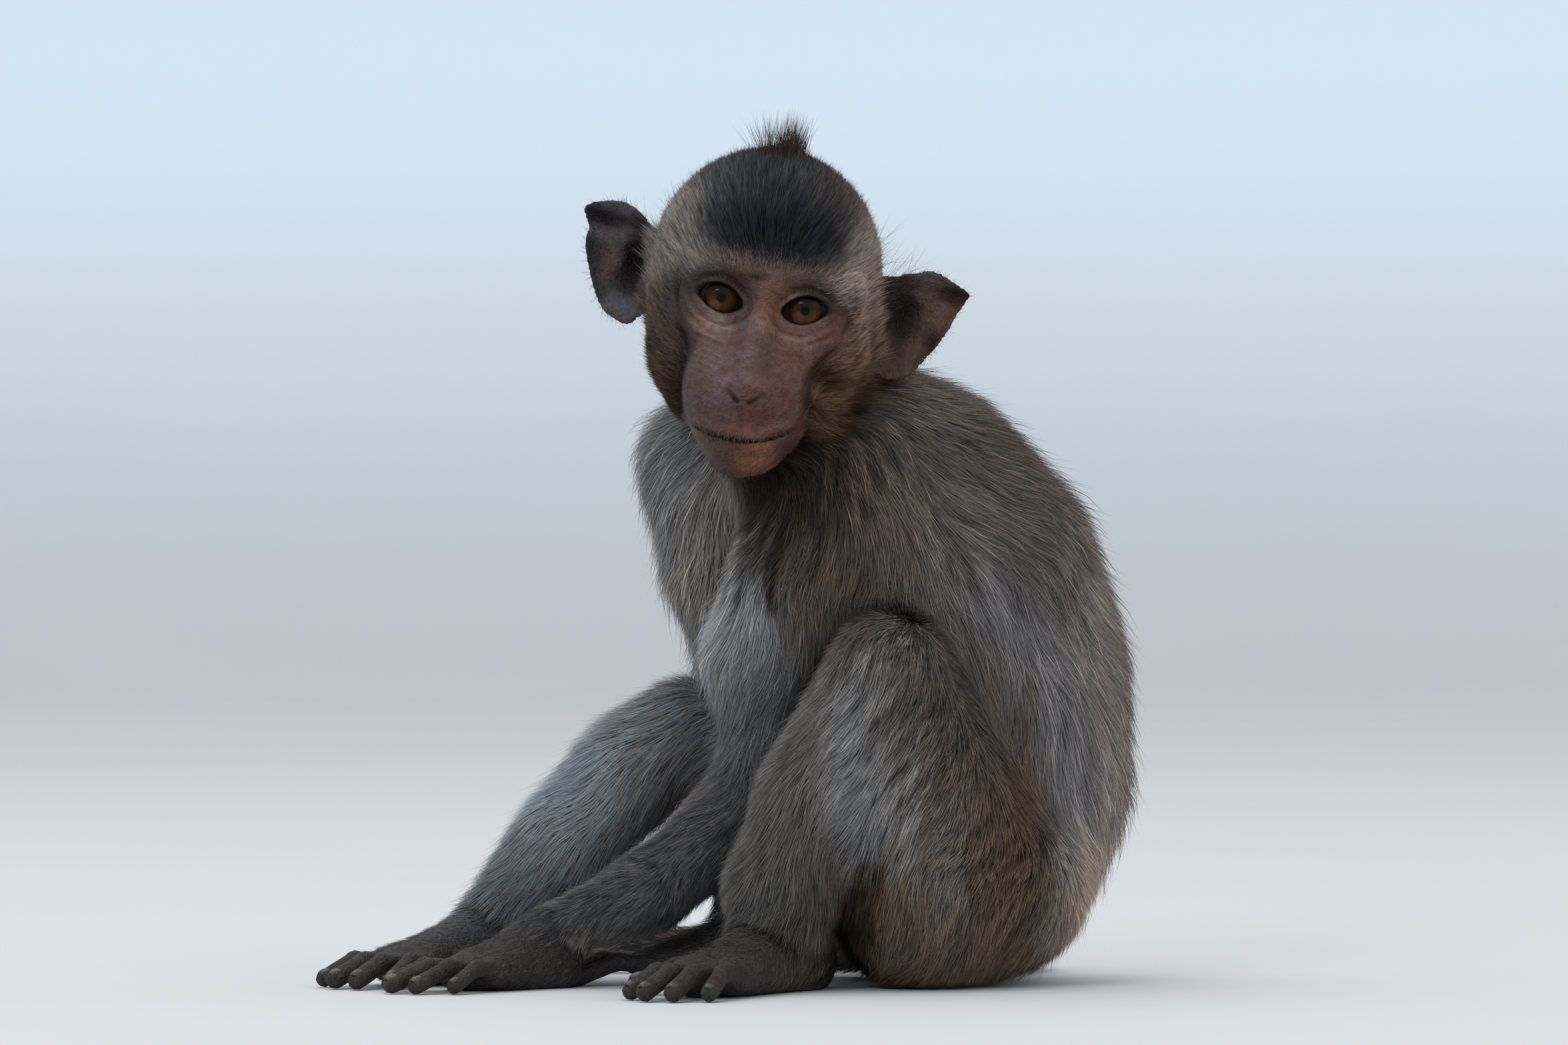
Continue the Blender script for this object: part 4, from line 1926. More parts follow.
class CoatTree:
    """The Geometry Nodes tree that grows a lock along every guide."""

    GUIDES = ("first", "second", "third")
    SPENT = ("root", "side", "rise", "facing", "girth", "plot", "section", "rung", "print", *GUIDES)
    SMOOTHING = 0.7

    def __init__(self) -> None:
        """Builds the tree."""
        self.tree = bpy.data.node_groups.new("grow_coat", "GeometryNodeTree")
        self.graph = Graph(self.tree)
        for name, kind in (
            ("Geometry", "NodeSocketGeometry"), ("Lock", "NodeSocketObject"), ("Hair", "NodeSocketMaterial"),
            ("Thickness", "NodeSocketFloat"), ("Patch", "NodeSocketFloat"),
        ):
            self.tree.interface.new_socket(name=name, in_out="INPUT", socket_type=kind)
        self.tree.interface.new_socket(name="Geometry", in_out="OUTPUT", socket_type="NodeSocketGeometry")
        self.lay()

    def named(self, name: str, kind: str = "FLOAT_VECTOR") -> Wire:
        """Returns a named attribute."""
        settings, sockets = {"data_type": kind}, {"Name": name}
        return self.graph.node("GeometryNodeInputNamedAttribute", settings, sockets, "Attribute")

    def moved(self, place: Wire, name: str, amount: Wire) -> Wire:
        """Returns the place moved by an amount of a named vector."""
        return self.graph.vector("ADD", place, self.named(name).scaled(amount))

    def lay(self) -> None:
        """Lays the nodes: instances on the guides' roots, realized, then bent along the guides."""
        graph = self.graph
        given = self.tree.nodes.new("NodeGroupInput")
        inlet = {socket.name: Wire(graph, socket) for socket in given.outputs if socket.name}
        lock = graph.node("GeometryNodeObjectInfo", None, {"Object": inlet["Lock"]}, "Geometry")
        locks = {"Points": inlet["Geometry"], "Instance": lock}
        locks = graph.node("GeometryNodeInstanceOnPoints", None, locks)
        locks = graph.node("GeometryNodeRealizeInstances", None, {"Geometry": locks})
        rungs = graph.node("ShaderNodeSeparateXYZ", None, {0: self.named("rung")}).socket.node.outputs
        place = self.named("root")
        for guide, rung in zip(self.GUIDES, rungs):
            place = self.moved(place, guide, Wire(graph, rung))
        parts = graph.node("ShaderNodeSeparateXYZ", None, {0: self.named("section")}).socket.node.outputs
        girth = self.named("girth", "FLOAT") * inlet["Thickness"]
        for way, part in zip(("side", "rise"), parts):
            place = self.moved(place, way, Wire(graph, part) * girth)
        grown = graph.node("GeometryNodeSetPosition", None, {"Geometry": locks, "Position": place})
        plot = self.moved(self.named("plot"), "print", inlet["Patch"])
        grown = graph.node(
            "GeometryNodeStoreNamedAttribute", {"data_type": "FLOAT2", "domain": "CORNER"},
            {"Geometry": grown, "Name": "OFBake", "Value": plot},
        )
        grown = graph.node("GeometryNodeSetMaterial", None, {"Geometry": grown, "Material": inlet["Hair"]})
        sent = self.tree.nodes.new("NodeGroupOutput")
        self.tree.links.new(grown.socket, sent.inputs["Geometry"])

    def grow(
        self, name: str, guides: bpy.types.Mesh, lock: bpy.types.Object, hair: bpy.types.Material,
        thickness: float = 1.0, patch: float = 0.003,
    ) -> bpy.types.Object:
        """Returns a finished piece of coat.

        Args:
            name: the piece's name.
            guides: one vertex a lock, with the guides' attributes.
            lock: the lock that is repeated.
            hair: its material.
            thickness: times each lock's girth.
            patch: the size of a tuft's patch in the bake map.

        Returns:
            The piece, with no modifier left on it.
        """
        carrier = shown(name + "_guides", guides)
        grower = carrier.modifiers.new("grow", "NODES")
        grower.node_group = self.tree
        values = {"Lock": lock, "Hair": hair, "Thickness": thickness, "Patch": patch}
        for item in self.tree.interface.items_tree:
            if item.in_out == "INPUT" and item.name in values:
                grower[item.identifier] = values[item.name]
        graph = bpy.context.evaluated_depsgraph_get()
        mesh = bpy.data.meshes.new_from_object(
            carrier.evaluated_get(graph), preserve_all_data_layers=True, depsgraph=graph
        )
        mesh.name = name
        self.soften(mesh)
        for spent in self.SPENT:
            layer = mesh.attributes.get(spent)
            if layer:
                mesh.attributes.remove(layer)
        dropped(carrier)
        piece = shown(name, mesh)
        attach(piece, "root")
        return piece

    def soften(self, mesh: bpy.types.Mesh) -> None:
        """Turns the locks' normals most of the way to the skin's, so that the coat is lit as a whole."""
        count = len(mesh.vertices) * 3
        own, facing = np.empty(count, np.float32), np.empty(count, np.float32)
        mesh.vertex_normals.foreach_get("vector", own)
        mesh.attributes["facing"].data.foreach_get("vector", facing)
        mixed = unit((facing * self.SMOOTHING + own * (1 - self.SMOOTHING)).reshape(-1, 3))
        mesh.normals_split_custom_set_from_vertices(mixed)


@dataclass
class Tufts:
    """Locks before they are grown: their roots, guides and looks, in figure millimetres."""

    roots: Array
    guides: Array
    side: Array
    rise: Array
    facing: Array
    girth: Array
    tint: Array
    luck: Array
    plot: Array

    def mesh(self, name: str, shift: Array) -> bpy.types.Mesh:
        """Returns one vertex a lock with the guides as attributes, in the row frame.

        Args:
            name: the mesh's name.
            shift: what takes the figure's frame to the row frame.

        Returns:
            The mesh.
        """
        places = self.roots * MM + shift
        mesh = bpy.data.meshes.new(name)
        mesh.vertices.add(len(places))
        mesh.vertices.foreach_set("co", rows(places).ravel())
        paint(
            mesh, root=places, **dict(zip(CoatTree.GUIDES, self.guides * MM)), side=self.side, rise=self.rise,
            facing=self.facing, girth=self.girth * MM, tint=opaque(self.tint), luck=self.luck,
            plot=np.hstack([self.plot, np.zeros((len(places), 1))]),
        )
        return mesh


@dataclass(frozen=True)
class CoatPiece:
    """One piece of the coat.

    Attributes:
        name: the piece's name.
        regions: the stretches it covers.
        kind: the lock it uses.
        count: how many locks it has at most.
        slot: the record's material slot.
        finish: its hair.
        above: whether it keeps only the near side (1), only the far side (-1) or both (0).
        loose: times the usual length and height of its locks.
    """

    name: str
    regions: tuple[Region, ...]
    kind: LockKind
    count: int
    slot: str
    finish: HairFinish
    above: int = 0
    loose: float = 1.0


SLEEK = HairFinish("hair_sleek", 0.5, 1.5, 0.6, 1.5, 1.25)
GRIZZLED = HairFinish("hair_grizzled", 0.6, 1.4, 0.5, 1.4, 1.8)
SOFT = HairFinish("hair_soft", 0.65, 1.4, 0.4, 1.25, 2.0)
EVEN = HairFinish("hair_even", 0.8, 1.3, 0.3, 0.95, 1.9)
PLAIN = HairFinish("hair_plain", 0.55, 1.4, 0.3, 1.1, 1.5)
TICKED = HairFinish("hair_ticked", 0.5, 1.5, 0.8, 1.4, 1.65)
FINE = HairFinish("hair_fine", 0.7, 1.3, 0.2, 0.6)

COAT_PIECES = (
    CoatPiece("coat_head", (Region.HEAD,), LockKind.FINE, 49000, "head_coat", SLEEK, 1),
    CoatPiece("coat_nape", (Region.HEAD,), LockKind.FINE, 20000, "head_coat", SLEEK, -1),
    CoatPiece("coat_trunk_left", (Region.TRUNK,), LockKind.FINE, 49000, "body_coat", SOFT, 1),
    CoatPiece("coat_trunk_right", (Region.TRUNK,), LockKind.FINE, 26000, "body_coat", SOFT, -1),
    CoatPiece("coat_upper_arm_left", (Region.UPPER_ARM_LEFT,), LockKind.FINE, 26000, "body_coat", SOFT),
    CoatPiece("coat_forearm_left", (Region.FOREARM_LEFT,), LockKind.FINE, 26000, "dark_coat", TICKED),
    CoatPiece("coat_arm_right", (Region.ARM_RIGHT,), LockKind.FINE, 20000, "body_coat", EVEN),
    CoatPiece("coat_thigh_left", (Region.THIGH_LEFT,), LockKind.FINE, 42000, "body_coat", TICKED),
    CoatPiece("coat_shin_left", (Region.SHIN_LEFT,), LockKind.FINE, 25000, "body_coat", GRIZZLED),
    CoatPiece("coat_leg_right", (Region.LEG_RIGHT,), LockKind.FINE, 32000, "pale_coat", EVEN),
    CoatPiece(
        "coat_loose", (Region.TRUNK, Region.ARM_RIGHT, Region.UPPER_ARM_LEFT), LockKind.LONG, 4300,
        "body_coat", SOFT, 0, 1.25,
    ),
    CoatPiece("coat_tail", (Region.TAIL,), LockKind.FINE, 10000, "dark_coat", TICKED),
    CoatPiece("coat_paws", (Region.PAWS,), LockKind.FINE, 14000, "dark_coat", PLAIN),
)


@dataclass(frozen=True)
class Wisps:
    """Single hairs that stand round one place of the head.

    Attributes:
        tint: their colour.
        at: the middle, in the head's frame.
        reach: how far they spread along each axis.
        count: how many there are.
        way: how they point, in the head's frame.
        length: the longest.
        girth: their width.
        fan: how much they part from each other.
        follow: how much they keep to the skin instead of standing straight, from 0 to 1.
        outward: how much they lean away from the middle.
    """

    tint: Tint
    at: Triple
    reach: Triple
    count: int
    way: Triple
    length: float
    girth: float = 0.13
    fan: float = 0.2
    follow: float = 0.0
    outward: float = 0.0


WISPS = (
    Wisps(Tint.CREST, (-5, 30, 46), (4.5, 8, 6), 230, (-0.1, 0.1, 1), 14, 0.1, 0.26, 0.0, 0.15),
    Wisps(Tint.CREST, (-0.4, 30, 46), (3, 5, 4), 200, (0.02, 0.1, 1), 15, 0.12, 0.16),
    Wisps(Tint.CREST, (0.4, 30, 46), (3, 5, 4), 170, (0.02, 0.1, 1), 8.5, 0.18, 0.16),
    Wisps(Tint.CREST, (-3.5, 30, 46), (5.5, 7, 6), 500, (0.1, 0.1, 1), 4.5, 0.16, 0.22),
    Wisps(Tint.NAPE, (1.4, 26, 46), (2.5, 4, 4), 90, (0.02, 0.1, 1), 6.0, 0.16, 0.15),
    Wisps(Tint.NAPE, (-2, 34, 26), (34, 7, 24), 1300, (0, 0.1, 0.6), 4.6, 0.1, 0.3, 0.35, 1.0),
    Wisps(Tint.GRIZZLE, (-36, 28, 20), (6, 12, 7), 50, (-0.4, 0, 1), 9, 0.08, 0.25),
    Wisps(Tint.GRIZZLE, (36, 28, 20), (6, 12, 7), 50, (0.6, 0, 1), 15, 0.08, 0.3),
    Wisps(Tint.FUZZ, (-47, 40, 6), (13, 9, 17), 1000, (0, 0, 0), 3.6, 0.08, 0.3, 0.3, 1.0),
    Wisps(Tint.FUZZ, (46, 40, 1), (13, 9, 17), 1000, (0, 0, 0), 3.6, 0.08, 0.3, 0.3, 1.0),
    Wisps(Tint.BROW_HAIR, (0, -3, 9.5), (24, 8, 4), 1500, (0, 0.25, 1), 3.4, 0.09, 0.36, 0.8),
    Wisps(Tint.LID_RIDGE, (-5, -16, -41), (9, 8, 1.4), 220, (-0.1, -0.35, -1), 2.4, 0.09, 0.2),
    Wisps(Tint.RIM, (-6, -16, -42), (7, 8, 1.2), 260, (-0.1, -0.3, -1), 2.6, 0.06, 0.25),
    Wisps(Tint.FUZZ, (-11, -12, -33), (8, 12, 6), 600, (-0.5, -0.4, -0.8), 1.7, 0.07, 0.3, 0.5),
    Wisps(Tint.CHIN_DARK, (2, -6, -51), (10, 12, 4), 220, (0, -0.3, -1), 3.0, 0.09, 0.3, 0.3),
)


@dataclass
class Coat:
    """Sows, combs and grows the coat over the skin.

    Attributes:
        clump: the size of the bunches whose tips draw together.
        sunk: how far a lock's root lies under the skin.
        spare: how many roots are thrown for each that is kept.
        packing: the side of the cell that holds one root, as a share of the even distance.
        stray: the share of locks that stand out of the coat.
        parting: how far behind the eyes the head's two pieces meet.
        seat: the height under which the coat is thinner.
        probe: how far from the skin the room for a lock is felt.
    """

    figure: Figure
    coatings: Coatings
    points: Array
    triangles: Array
    shift: Array
    seed: int = 11
    clump: float = 5.0
    sunk: float = 0.35
    spare: float = 2.6
    packing: float = 0.86
    stray: float = 0.035
    parting: float = 34.0
    seat: float = 6.0
    probe: float = 14.0

    def __post_init__(self) -> None:
        """Works out what each triangle of the skin carries."""
        figure = self.figure
        a, b, c = (self.points[self.triangles[:, k]] for k in range(3))
        self.areas = np.linalg.norm(np.cross(b - a, c - a), axis=1) / 2
        self.middles = (a + b + c) / 3
        self.owner = figure.shares(self.middles).argmax(0)
        head_like = figure.bones_in(Region.HEAD)[self.owner]
        local = figure.stance.into_head(self.middles)
        self.furred = np.where(head_like, Face.furred(local), 1.0)
        on_ear = (figure.off_head(self.middles) > 0.9) & (figure.off_ears(self.middles) < 1.0)
        self.furred[on_ear | (self.middles[:, 2] < 0.6)] = 0
        for number, paw in zip(np.flatnonzero(figure.bones_in(Region.PAWS)), figure.paws):
            ahead = np.linalg.norm(self.middles[:, :2] - rows(paw.root[:2]), axis=1)
            knuckles = paw.sole.digits[2].ahead
            grown = smoothstep(knuckles + 3, knuckles - 9, ahead)
            self.furred *= np.where(self.owner == number, grown, 1)
        self.furred = self.furred * (1 + 1.3 * smoothstep(9, 0, Face.fringe(local)) * head_like)
        self.tree = CoatTree()
        self.locks = {kind: shown(f"lock_{kind.name.lower()}", lock_mesh(kind)) for kind in LockKind}

    def sown(self, chosen: Array, count: int, dice: np.random.Generator) -> tuple[Array, Array]:
        """Scatters roots evenly over some triangles.

        Args:
            chosen: how thick the roots stand on each triangle, 0 for none.
            count: how many roots there are at most.
            dice: the chance.

        Returns:
            The roots and the triangles that they are on.
        """
        weights = self.areas * chosen
        area = weights.sum()
        picks = dice.choice(len(weights), int(count * self.spare), p=weights / area)
        u, v = dice.uniform(0, 1, (2, len(picks), 1)).astype(np.float32)
        u, v = np.where(u + v > 1, 1 - u, u), np.where(u + v > 1, 1 - v, v)
        a, b, c = (self.points[self.triangles[picks, k]] for k in range(3))
        roots = a + (b - a) * u + (c - a) * v
        cell = math.sqrt(area / count) * self.packing
        keys = np.floor(roots / cell).astype(np.int64)
        _, first = np.unique(keys @ CELL_KEYS, return_index=True)
        first = dice.permutation(first)[:count]
        return roots[first], picks[first]

    def plots(self, roots: Array, owners: Array) -> Array:
        """Returns each root's place in the bake map: every bone unrolled into its own square.

        Args:
            roots: places on the skin.
            owners: the bone that each root belongs to.

        Returns:
            Two numbers a root, from 0 to 1.
        """
        used, place = np.unique(owners, return_inverse=True)
        across = math.ceil(math.sqrt(len(used)))
        found = np.zeros((len(roots), 2), np.float32)
        for number, owner in enumerate(used):
            mine = place == number
            bone = self.figure.bones[owner]
            low, high = bone.shape.box()
            lie = unit(rows(bone.lie))
            flank = unit(np.cross(lie, rows((0.3, 0.9, 0.31))))
            spoke = roots[mine] - (low + high) / 2
            turn = np.arctan2(spoke @ flank, spoke @ np.cross(lie, flank)) / (2 * math.pi) + 0.5
            reach = float(np.linalg.norm(high - low)) / 2
            rise = np.clip(spoke @ lie / (2 * reach) + 0.5, 0, 1)
            corner = np.array((number % across, number // across))
            found[mine] = (corner + 0.03 + 0.94 * np.stack([turn, rise], 1)) / across
        return np.clip(found, 0.001, 0.996)

    def combed(self, roots: Array, dice: np.random.Generator, loose: float) -> Tufts:
        """Lays a lock at every root along the coat's lie, over the skin's curves.

        Args:
            roots: places on the skin.
            dice: the chance.
            loose: times the usual length and height.

        Returns:
            The locks.
        """
        figure, count = self.figure, len(roots)
        normals = slope_of(figure.skin, roots)
        shares = figure.shares(roots)
        owners = shares.argmax(0)
        growths = [(bone.growth.depth, bone.growth.length, bone.growth.girth) for bone in figure.bones]
        depth, length, girth = (shares.T @ rows(growths)).T
        way, stretch, lift = self.coatings.lie(roots, normals, shares)
        on_head = figure.bones_in(Region.HEAD)[owners]
        calm = np.where(on_head, 0.5, 1.0)[:, None]
        waver = wander(roots, 7.0, self.seed) * 0.22 + wander(roots, 2.2, self.seed + 1) * 0.1
        way = turned(way + calm * (waver + dice.normal(0, 0.09, (count, 3)).astype(np.float32)), normals)
        grain = np.where(on_head, 1.5, 1.1)[:, None]
        streak = grained(roots * grain, way, 1.8, self.seed + 2)
        drift = grained(roots, way, 4.5, self.seed + 3)
        luck = 0.5 + streak * 0.14 + drift * np.where(on_head, 0.02, 0.06)
        luck = np.clip(luck + dice.uniform(-0.28, 0.28, count), 0, 1).astype(np.float32)
        stray = dice.uniform(0, 1, count) < self.stray
        length = length * stretch * loose * dice.uniform(0.72, 1.2, count) * np.where(stray, 1.3, 1.0)
        height = depth * lift * (0.6 + 0.5 * dice.uniform(0, 1, count)) * np.where(stray, 1.7, loose)
        height = np.minimum(height, self.room(roots, normals))
        bunch = np.floor((roots + wander(roots, 9.0, 4) * 2.0) / self.clump).astype(np.int64)
        _, member = np.unique(bunch @ CELL_KEYS, return_inverse=True)
        sums = np.zeros((member.max() + 1, 3))
        np.add.at(sums, member, roots)
        pull = (sums / np.bincount(member)[:, None])[member] - roots
        side = np.cross(normals, way)
        curl = dice.normal(0, 0.028, count)[:, None] * length[:, None]
        base = roots - normals * self.sunk
        base[:, 2] = np.maximum(base[:, 2], 0.4)
        guides, here, heading, up = [], roots, way, normals
        tame = np.minimum(1, 8 / length)[:, None] * np.where(on_head, 0.2, 1.0)[:, None]
        for rise, draw, bend in ((0.45, 0.04, 1.0), (0.8, 0.16, -0.6), (1.0, 0.3, 0.8)):
            here = here + heading * (length / 3)[:, None]
            here = here - up * (figure.skin.distance(here) - height * rise)[:, None]
            up = slope_of(figure.skin, here)
            heading = turned(heading, up)
            bent = here + pull * draw * tame + side * curl * bend
            bent[:, 2] = np.maximum(bent[:, 2], 0.5)
            guides.append((bent - base).astype(np.float32))
        girth = girth * dice.uniform(0.7, 1.3, count)
        drawn = way * ((drift + streak * 0.6) * np.where(on_head, 0.35, 5.0))[:, None]
        tint = self.coatings.tint((base + (guides[0] + guides[1]) / 2 + drawn).astype(np.float32))
        plot = self.plots(roots, owners)
        return Tufts(base, np.stack(guides), side, normals, normals, girth, tint, luck, plot)

    def room(self, roots: Array, normals: Array) -> Array:
        """Returns how high a lock may stand before it meets the flesh across a fold."""
        free = self.figure.skin.distance(roots + normals * self.probe)
        return np.clip(1.0 + (free + 4) * 0.9, 0.8, self.probe)

    def grow(self, piece: CoatPiece) -> bpy.types.Object:
        """Returns one finished piece of the coat.

        Args:
            piece: what it covers and what it is made of.

        Returns:
            The piece.
        """
        dice = np.random.default_rng(self.seed + len(piece.name) * 7 + piece.count)
        mine = self.figure.bones_in(*piece.regions)[self.owner] * self.furred
        front = self.middles[:, 1]
        if Region.HEAD in piece.regions:
            front = self.figure.stance.into_head(self.middles)[:, 1] - self.parting
        if piece.above:
            mine = mine * (front * -piece.above > 0)
        mine = mine * np.where(self.middles[:, 2] < self.seat, 0.5, 1.0)
        roots, _ = self.sown(mine, piece.count, dice)
        tufts = self.combed(roots, dice, piece.loose)
        if piece.kind is LockKind.FINE:
            tufts.guides = tufts.guides[[2, 2, 2]]
        guides = tufts.mesh(piece.name + "_guides", self.shift)
        made = self.tree.grow(piece.name, guides, self.locks[piece.kind], piece.finish.material())
        LOG.info("%s: %d locks, %d triangles", piece.name, len(roots), triangle_count(made))
        return made

    def stood(self, stand: Wisps, dice: np.random.Generator) -> Tufts:
        """Returns the single hairs of one stand.

        Args:
            stand: where the hairs stand and how.
            dice: the chance.

        Returns:
            The hairs.
        """
        figure = self.figure
        local = figure.stance.into_head(self.middles)
        off = np.square((local - rows(stand.at)) / rows(stand.reach)).sum(1)
        roots, _ = self.sown(np.exp(-off) * (off < 2.2), stand.count, dice)
        count, normals = len(roots), slope_of(figure.skin, roots)
        spoke = unit((figure.stance.into_head(roots) - rows(stand.at)) * rows((1, 0.3, 1)))
        heading = rows(stand.way) + spoke * stand.outward + dice.normal(0, stand.fan, (count, 3))
        way = unit(heading.astype(np.float32)) @ figure.stance.axes().T
        way = unit(turned(way, normals) * stand.follow + way * (1 - stand.follow) + normals * 0.12)
        side = unit(np.cross(way, unit(dice.normal(0, 1, (count, 3)).astype(np.float32))))
        length = (stand.length * dice.uniform(0.45, 1.1, count))[:, None]
        curl = side * dice.normal(0, 0.07, (count, 1)) * length
        tip = way * length + curl
        guides = np.stack([way * length * 0.5 + curl * 0.2, tip, tip])
        return Tufts(
            roots - normals * 0.2, guides, side, np.cross(way, side), normals, np.full(count, stand.girth),
            np.tile(rows(stand.tint.value), (count, 1)), dice.uniform(0.2, 1, count),
            self.plots(roots, np.zeros(count, int)),
        )

    def grow_wisps(self) -> bpy.types.Object:
        """Returns every stand of single hairs as one piece."""
        dice = np.random.default_rng(self.seed + 500)
        stands = [self.stood(stand, dice) for stand in WISPS]
        joined = Tufts(*(
            np.concatenate([getattr(stand, part.name) for stand in stands], int(part.name == "guides"))
            for part in fields(Tufts)
        ))
        guides = joined.mesh("coat_wisps_guides", self.shift)
        made = self.tree.grow("coat_wisps", guides, self.locks[LockKind.SHORT], FINE.material())
        LOG.info("coat_wisps: %d hairs, %d triangles", len(joined.roots), triangle_count(made))
        return made

    def grow_all(self) -> None:
        """Grows every piece and removes the lock templates."""
        for piece in COAT_PIECES:
            self.grow(piece)
        self.grow_wisps()
        for lock in self.locks.values():
            dropped(lock)


def triangle_count(thing: bpy.types.Object) -> int:
    """Returns how many triangles an object's mesh has."""
    thing.data.calc_loop_triangles()
    return len(thing.data.loop_triangles)


# === Skin, eyes and nails ===


@dataclass
class Skin:
    """The one skin that stands for all the nodes of flesh.

    Attributes:
        under_coat: how bright the skin under the coat is against the coat.
    """

    figure: Figure
    coatings: Coatings
    points: Array
    triangles: Array
    shift: Array
    under_coat: float = 0.6

    def build(self) -> bpy.types.Object:
        """Returns the skin, painted with its colours."""
        mesh = mesh_of("skin", self.points * MM + self.shift, self.triangles)
        local = self.figure.stance.into_head(self.points)
        on_ear = smoothstep(0.2, 1.2, self.figure.off_head(self.points))
        on_ear = on_ear * smoothstep(1.5, 0.8, self.figure.off_ears(self.points))
        near_head = smoothstep(3, 1.5, self.figure.head.distance(self.points))
        furred = np.maximum(Face.furred(local), 1 - near_head)[:, None]
        coat = self.coatings.tint(self.points) * self.under_coat
        colour = self.coatings.bare_tint(self.points)
        colour = colour + (coat - colour) * furred
        colour = colour + (self.coatings.ear_tint(self.points) - colour) * on_ear[:, None]
        paint(mesh, tint=opaque(colour))
        mesh.materials.append(SkinFinish().material())
        skin = shown("skin", mesh)
        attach(skin, "root")
        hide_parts(*(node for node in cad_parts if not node.startswith("eye_")))
        LOG.info("skin: %d triangles", len(self.triangles))
        return skin


def closed_piece(name: str, points: Array, faces: Faces, finish: Finish) -> bpy.types.Object:
    """Returns a smooth closed piece whose faces point outwards.

    Args:
        name: the piece's name.
        points: its corners in metres.
        faces: corner numbers, of any length and direction.
        finish: what it is covered with.

    Returns:
        The piece.
    """
    mesh = bpy.data.meshes.new(name)
    mesh.from_pydata(points.tolist(), [], faces)
    outward = bmesh.new()
    outward.from_mesh(mesh)
    bmesh.ops.recalc_face_normals(outward, faces=outward.faces)
    outward.to_mesh(mesh)
    outward.free()
    mesh.shade_smooth()
    mesh.materials.append(finish.material())
    piece = shown(name, mesh)
    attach(piece, "root")
    return piece


@dataclass
class Eyeball:
    """An eye with a bulging cornea, turned towards the viewer.

    Attributes:
        side: 1 for the left eye, -1 for the right.
        bulge: how far the cornea stands out of the ball.
        crowding: how much closer the rings are at the front than at the back.
        gaze: the way it looks, in the head's frame.
    """

    figure: Figure
    side: int
    shift: Array
    rings: int = 44
    spokes: int = 64
    bulge: float = 0.45
    crowding: float = 1.35
    gaze: Triple = (-0.04, -1.0, -0.1)

    def build(self) -> bpy.types.Object:
        """Returns the eyeball."""
        eyes = self.figure.face.eyes
        turns = np.linspace(0, math.pi, self.rings + 1)[1:-1]
        turns = math.pi * (turns / math.pi) ** self.crowding
        around = np.linspace(0, 2 * math.pi, self.spokes, endpoint=False)
        turn, spoke = np.meshgrid(turns, around, indexing="ij")
        radius = eyes.radius + self.bulge * smoothstep(0.72, 0.3, turn)
        x = radius * np.sin(turn) * np.cos(spoke)
        z = radius * np.sin(turn) * np.sin(spoke)
        y = -radius * np.cos(turn)
        ring = np.stack([x, y, z], axis=-1).reshape(-1, 3)
        local = np.vstack([ring, [(0, -eyes.radius - self.bulge, 0)], [(0, eyes.radius, 0)]])
        forward = unit(rows(self.gaze))
        right = unit(np.cross(rows((0, 0, 1)), -forward))
        turned_points = local @ np.stack([right, -forward, np.cross(-forward, right)])
        across, ahead, up = eyes.at
        centre = self.figure.stance.into_figure(rows([(across * self.side, ahead, up)]))[0]
        last, spokes = (self.rings - 2) * self.spokes, self.spokes
        pairs = [(s, (s + 1) % spokes) for s in range(spokes)]
        faces = [
            (k + s, k + t, k + spokes + t, k + spokes + s) for k in range(0, last, spokes) for s, t in pairs
        ]
        faces += [(last + spokes, t, s) for s, t in pairs]
        faces += [(last + spokes + 1, last + s, last + t) for s, t in pairs]
        side = "left" if self.side > 0 else "right"
        places = (turned_points + centre) * MM + self.shift
        ball = closed_piece(f"eyeball_{side}", places, faces, EyeFinish())
        layer = ball.data.uv_layers.new(name="gaze")
        corner = np.empty(len(ball.data.loops), np.int32)
        ball.data.loops.foreach_get("vertex_index", corner)
        flat = local[:, [0, 2]] / eyes.radius
        layer.uv.foreach_set("vector", rows(flat[corner]).ravel())
        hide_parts(f"eye_{side}")
        return ball


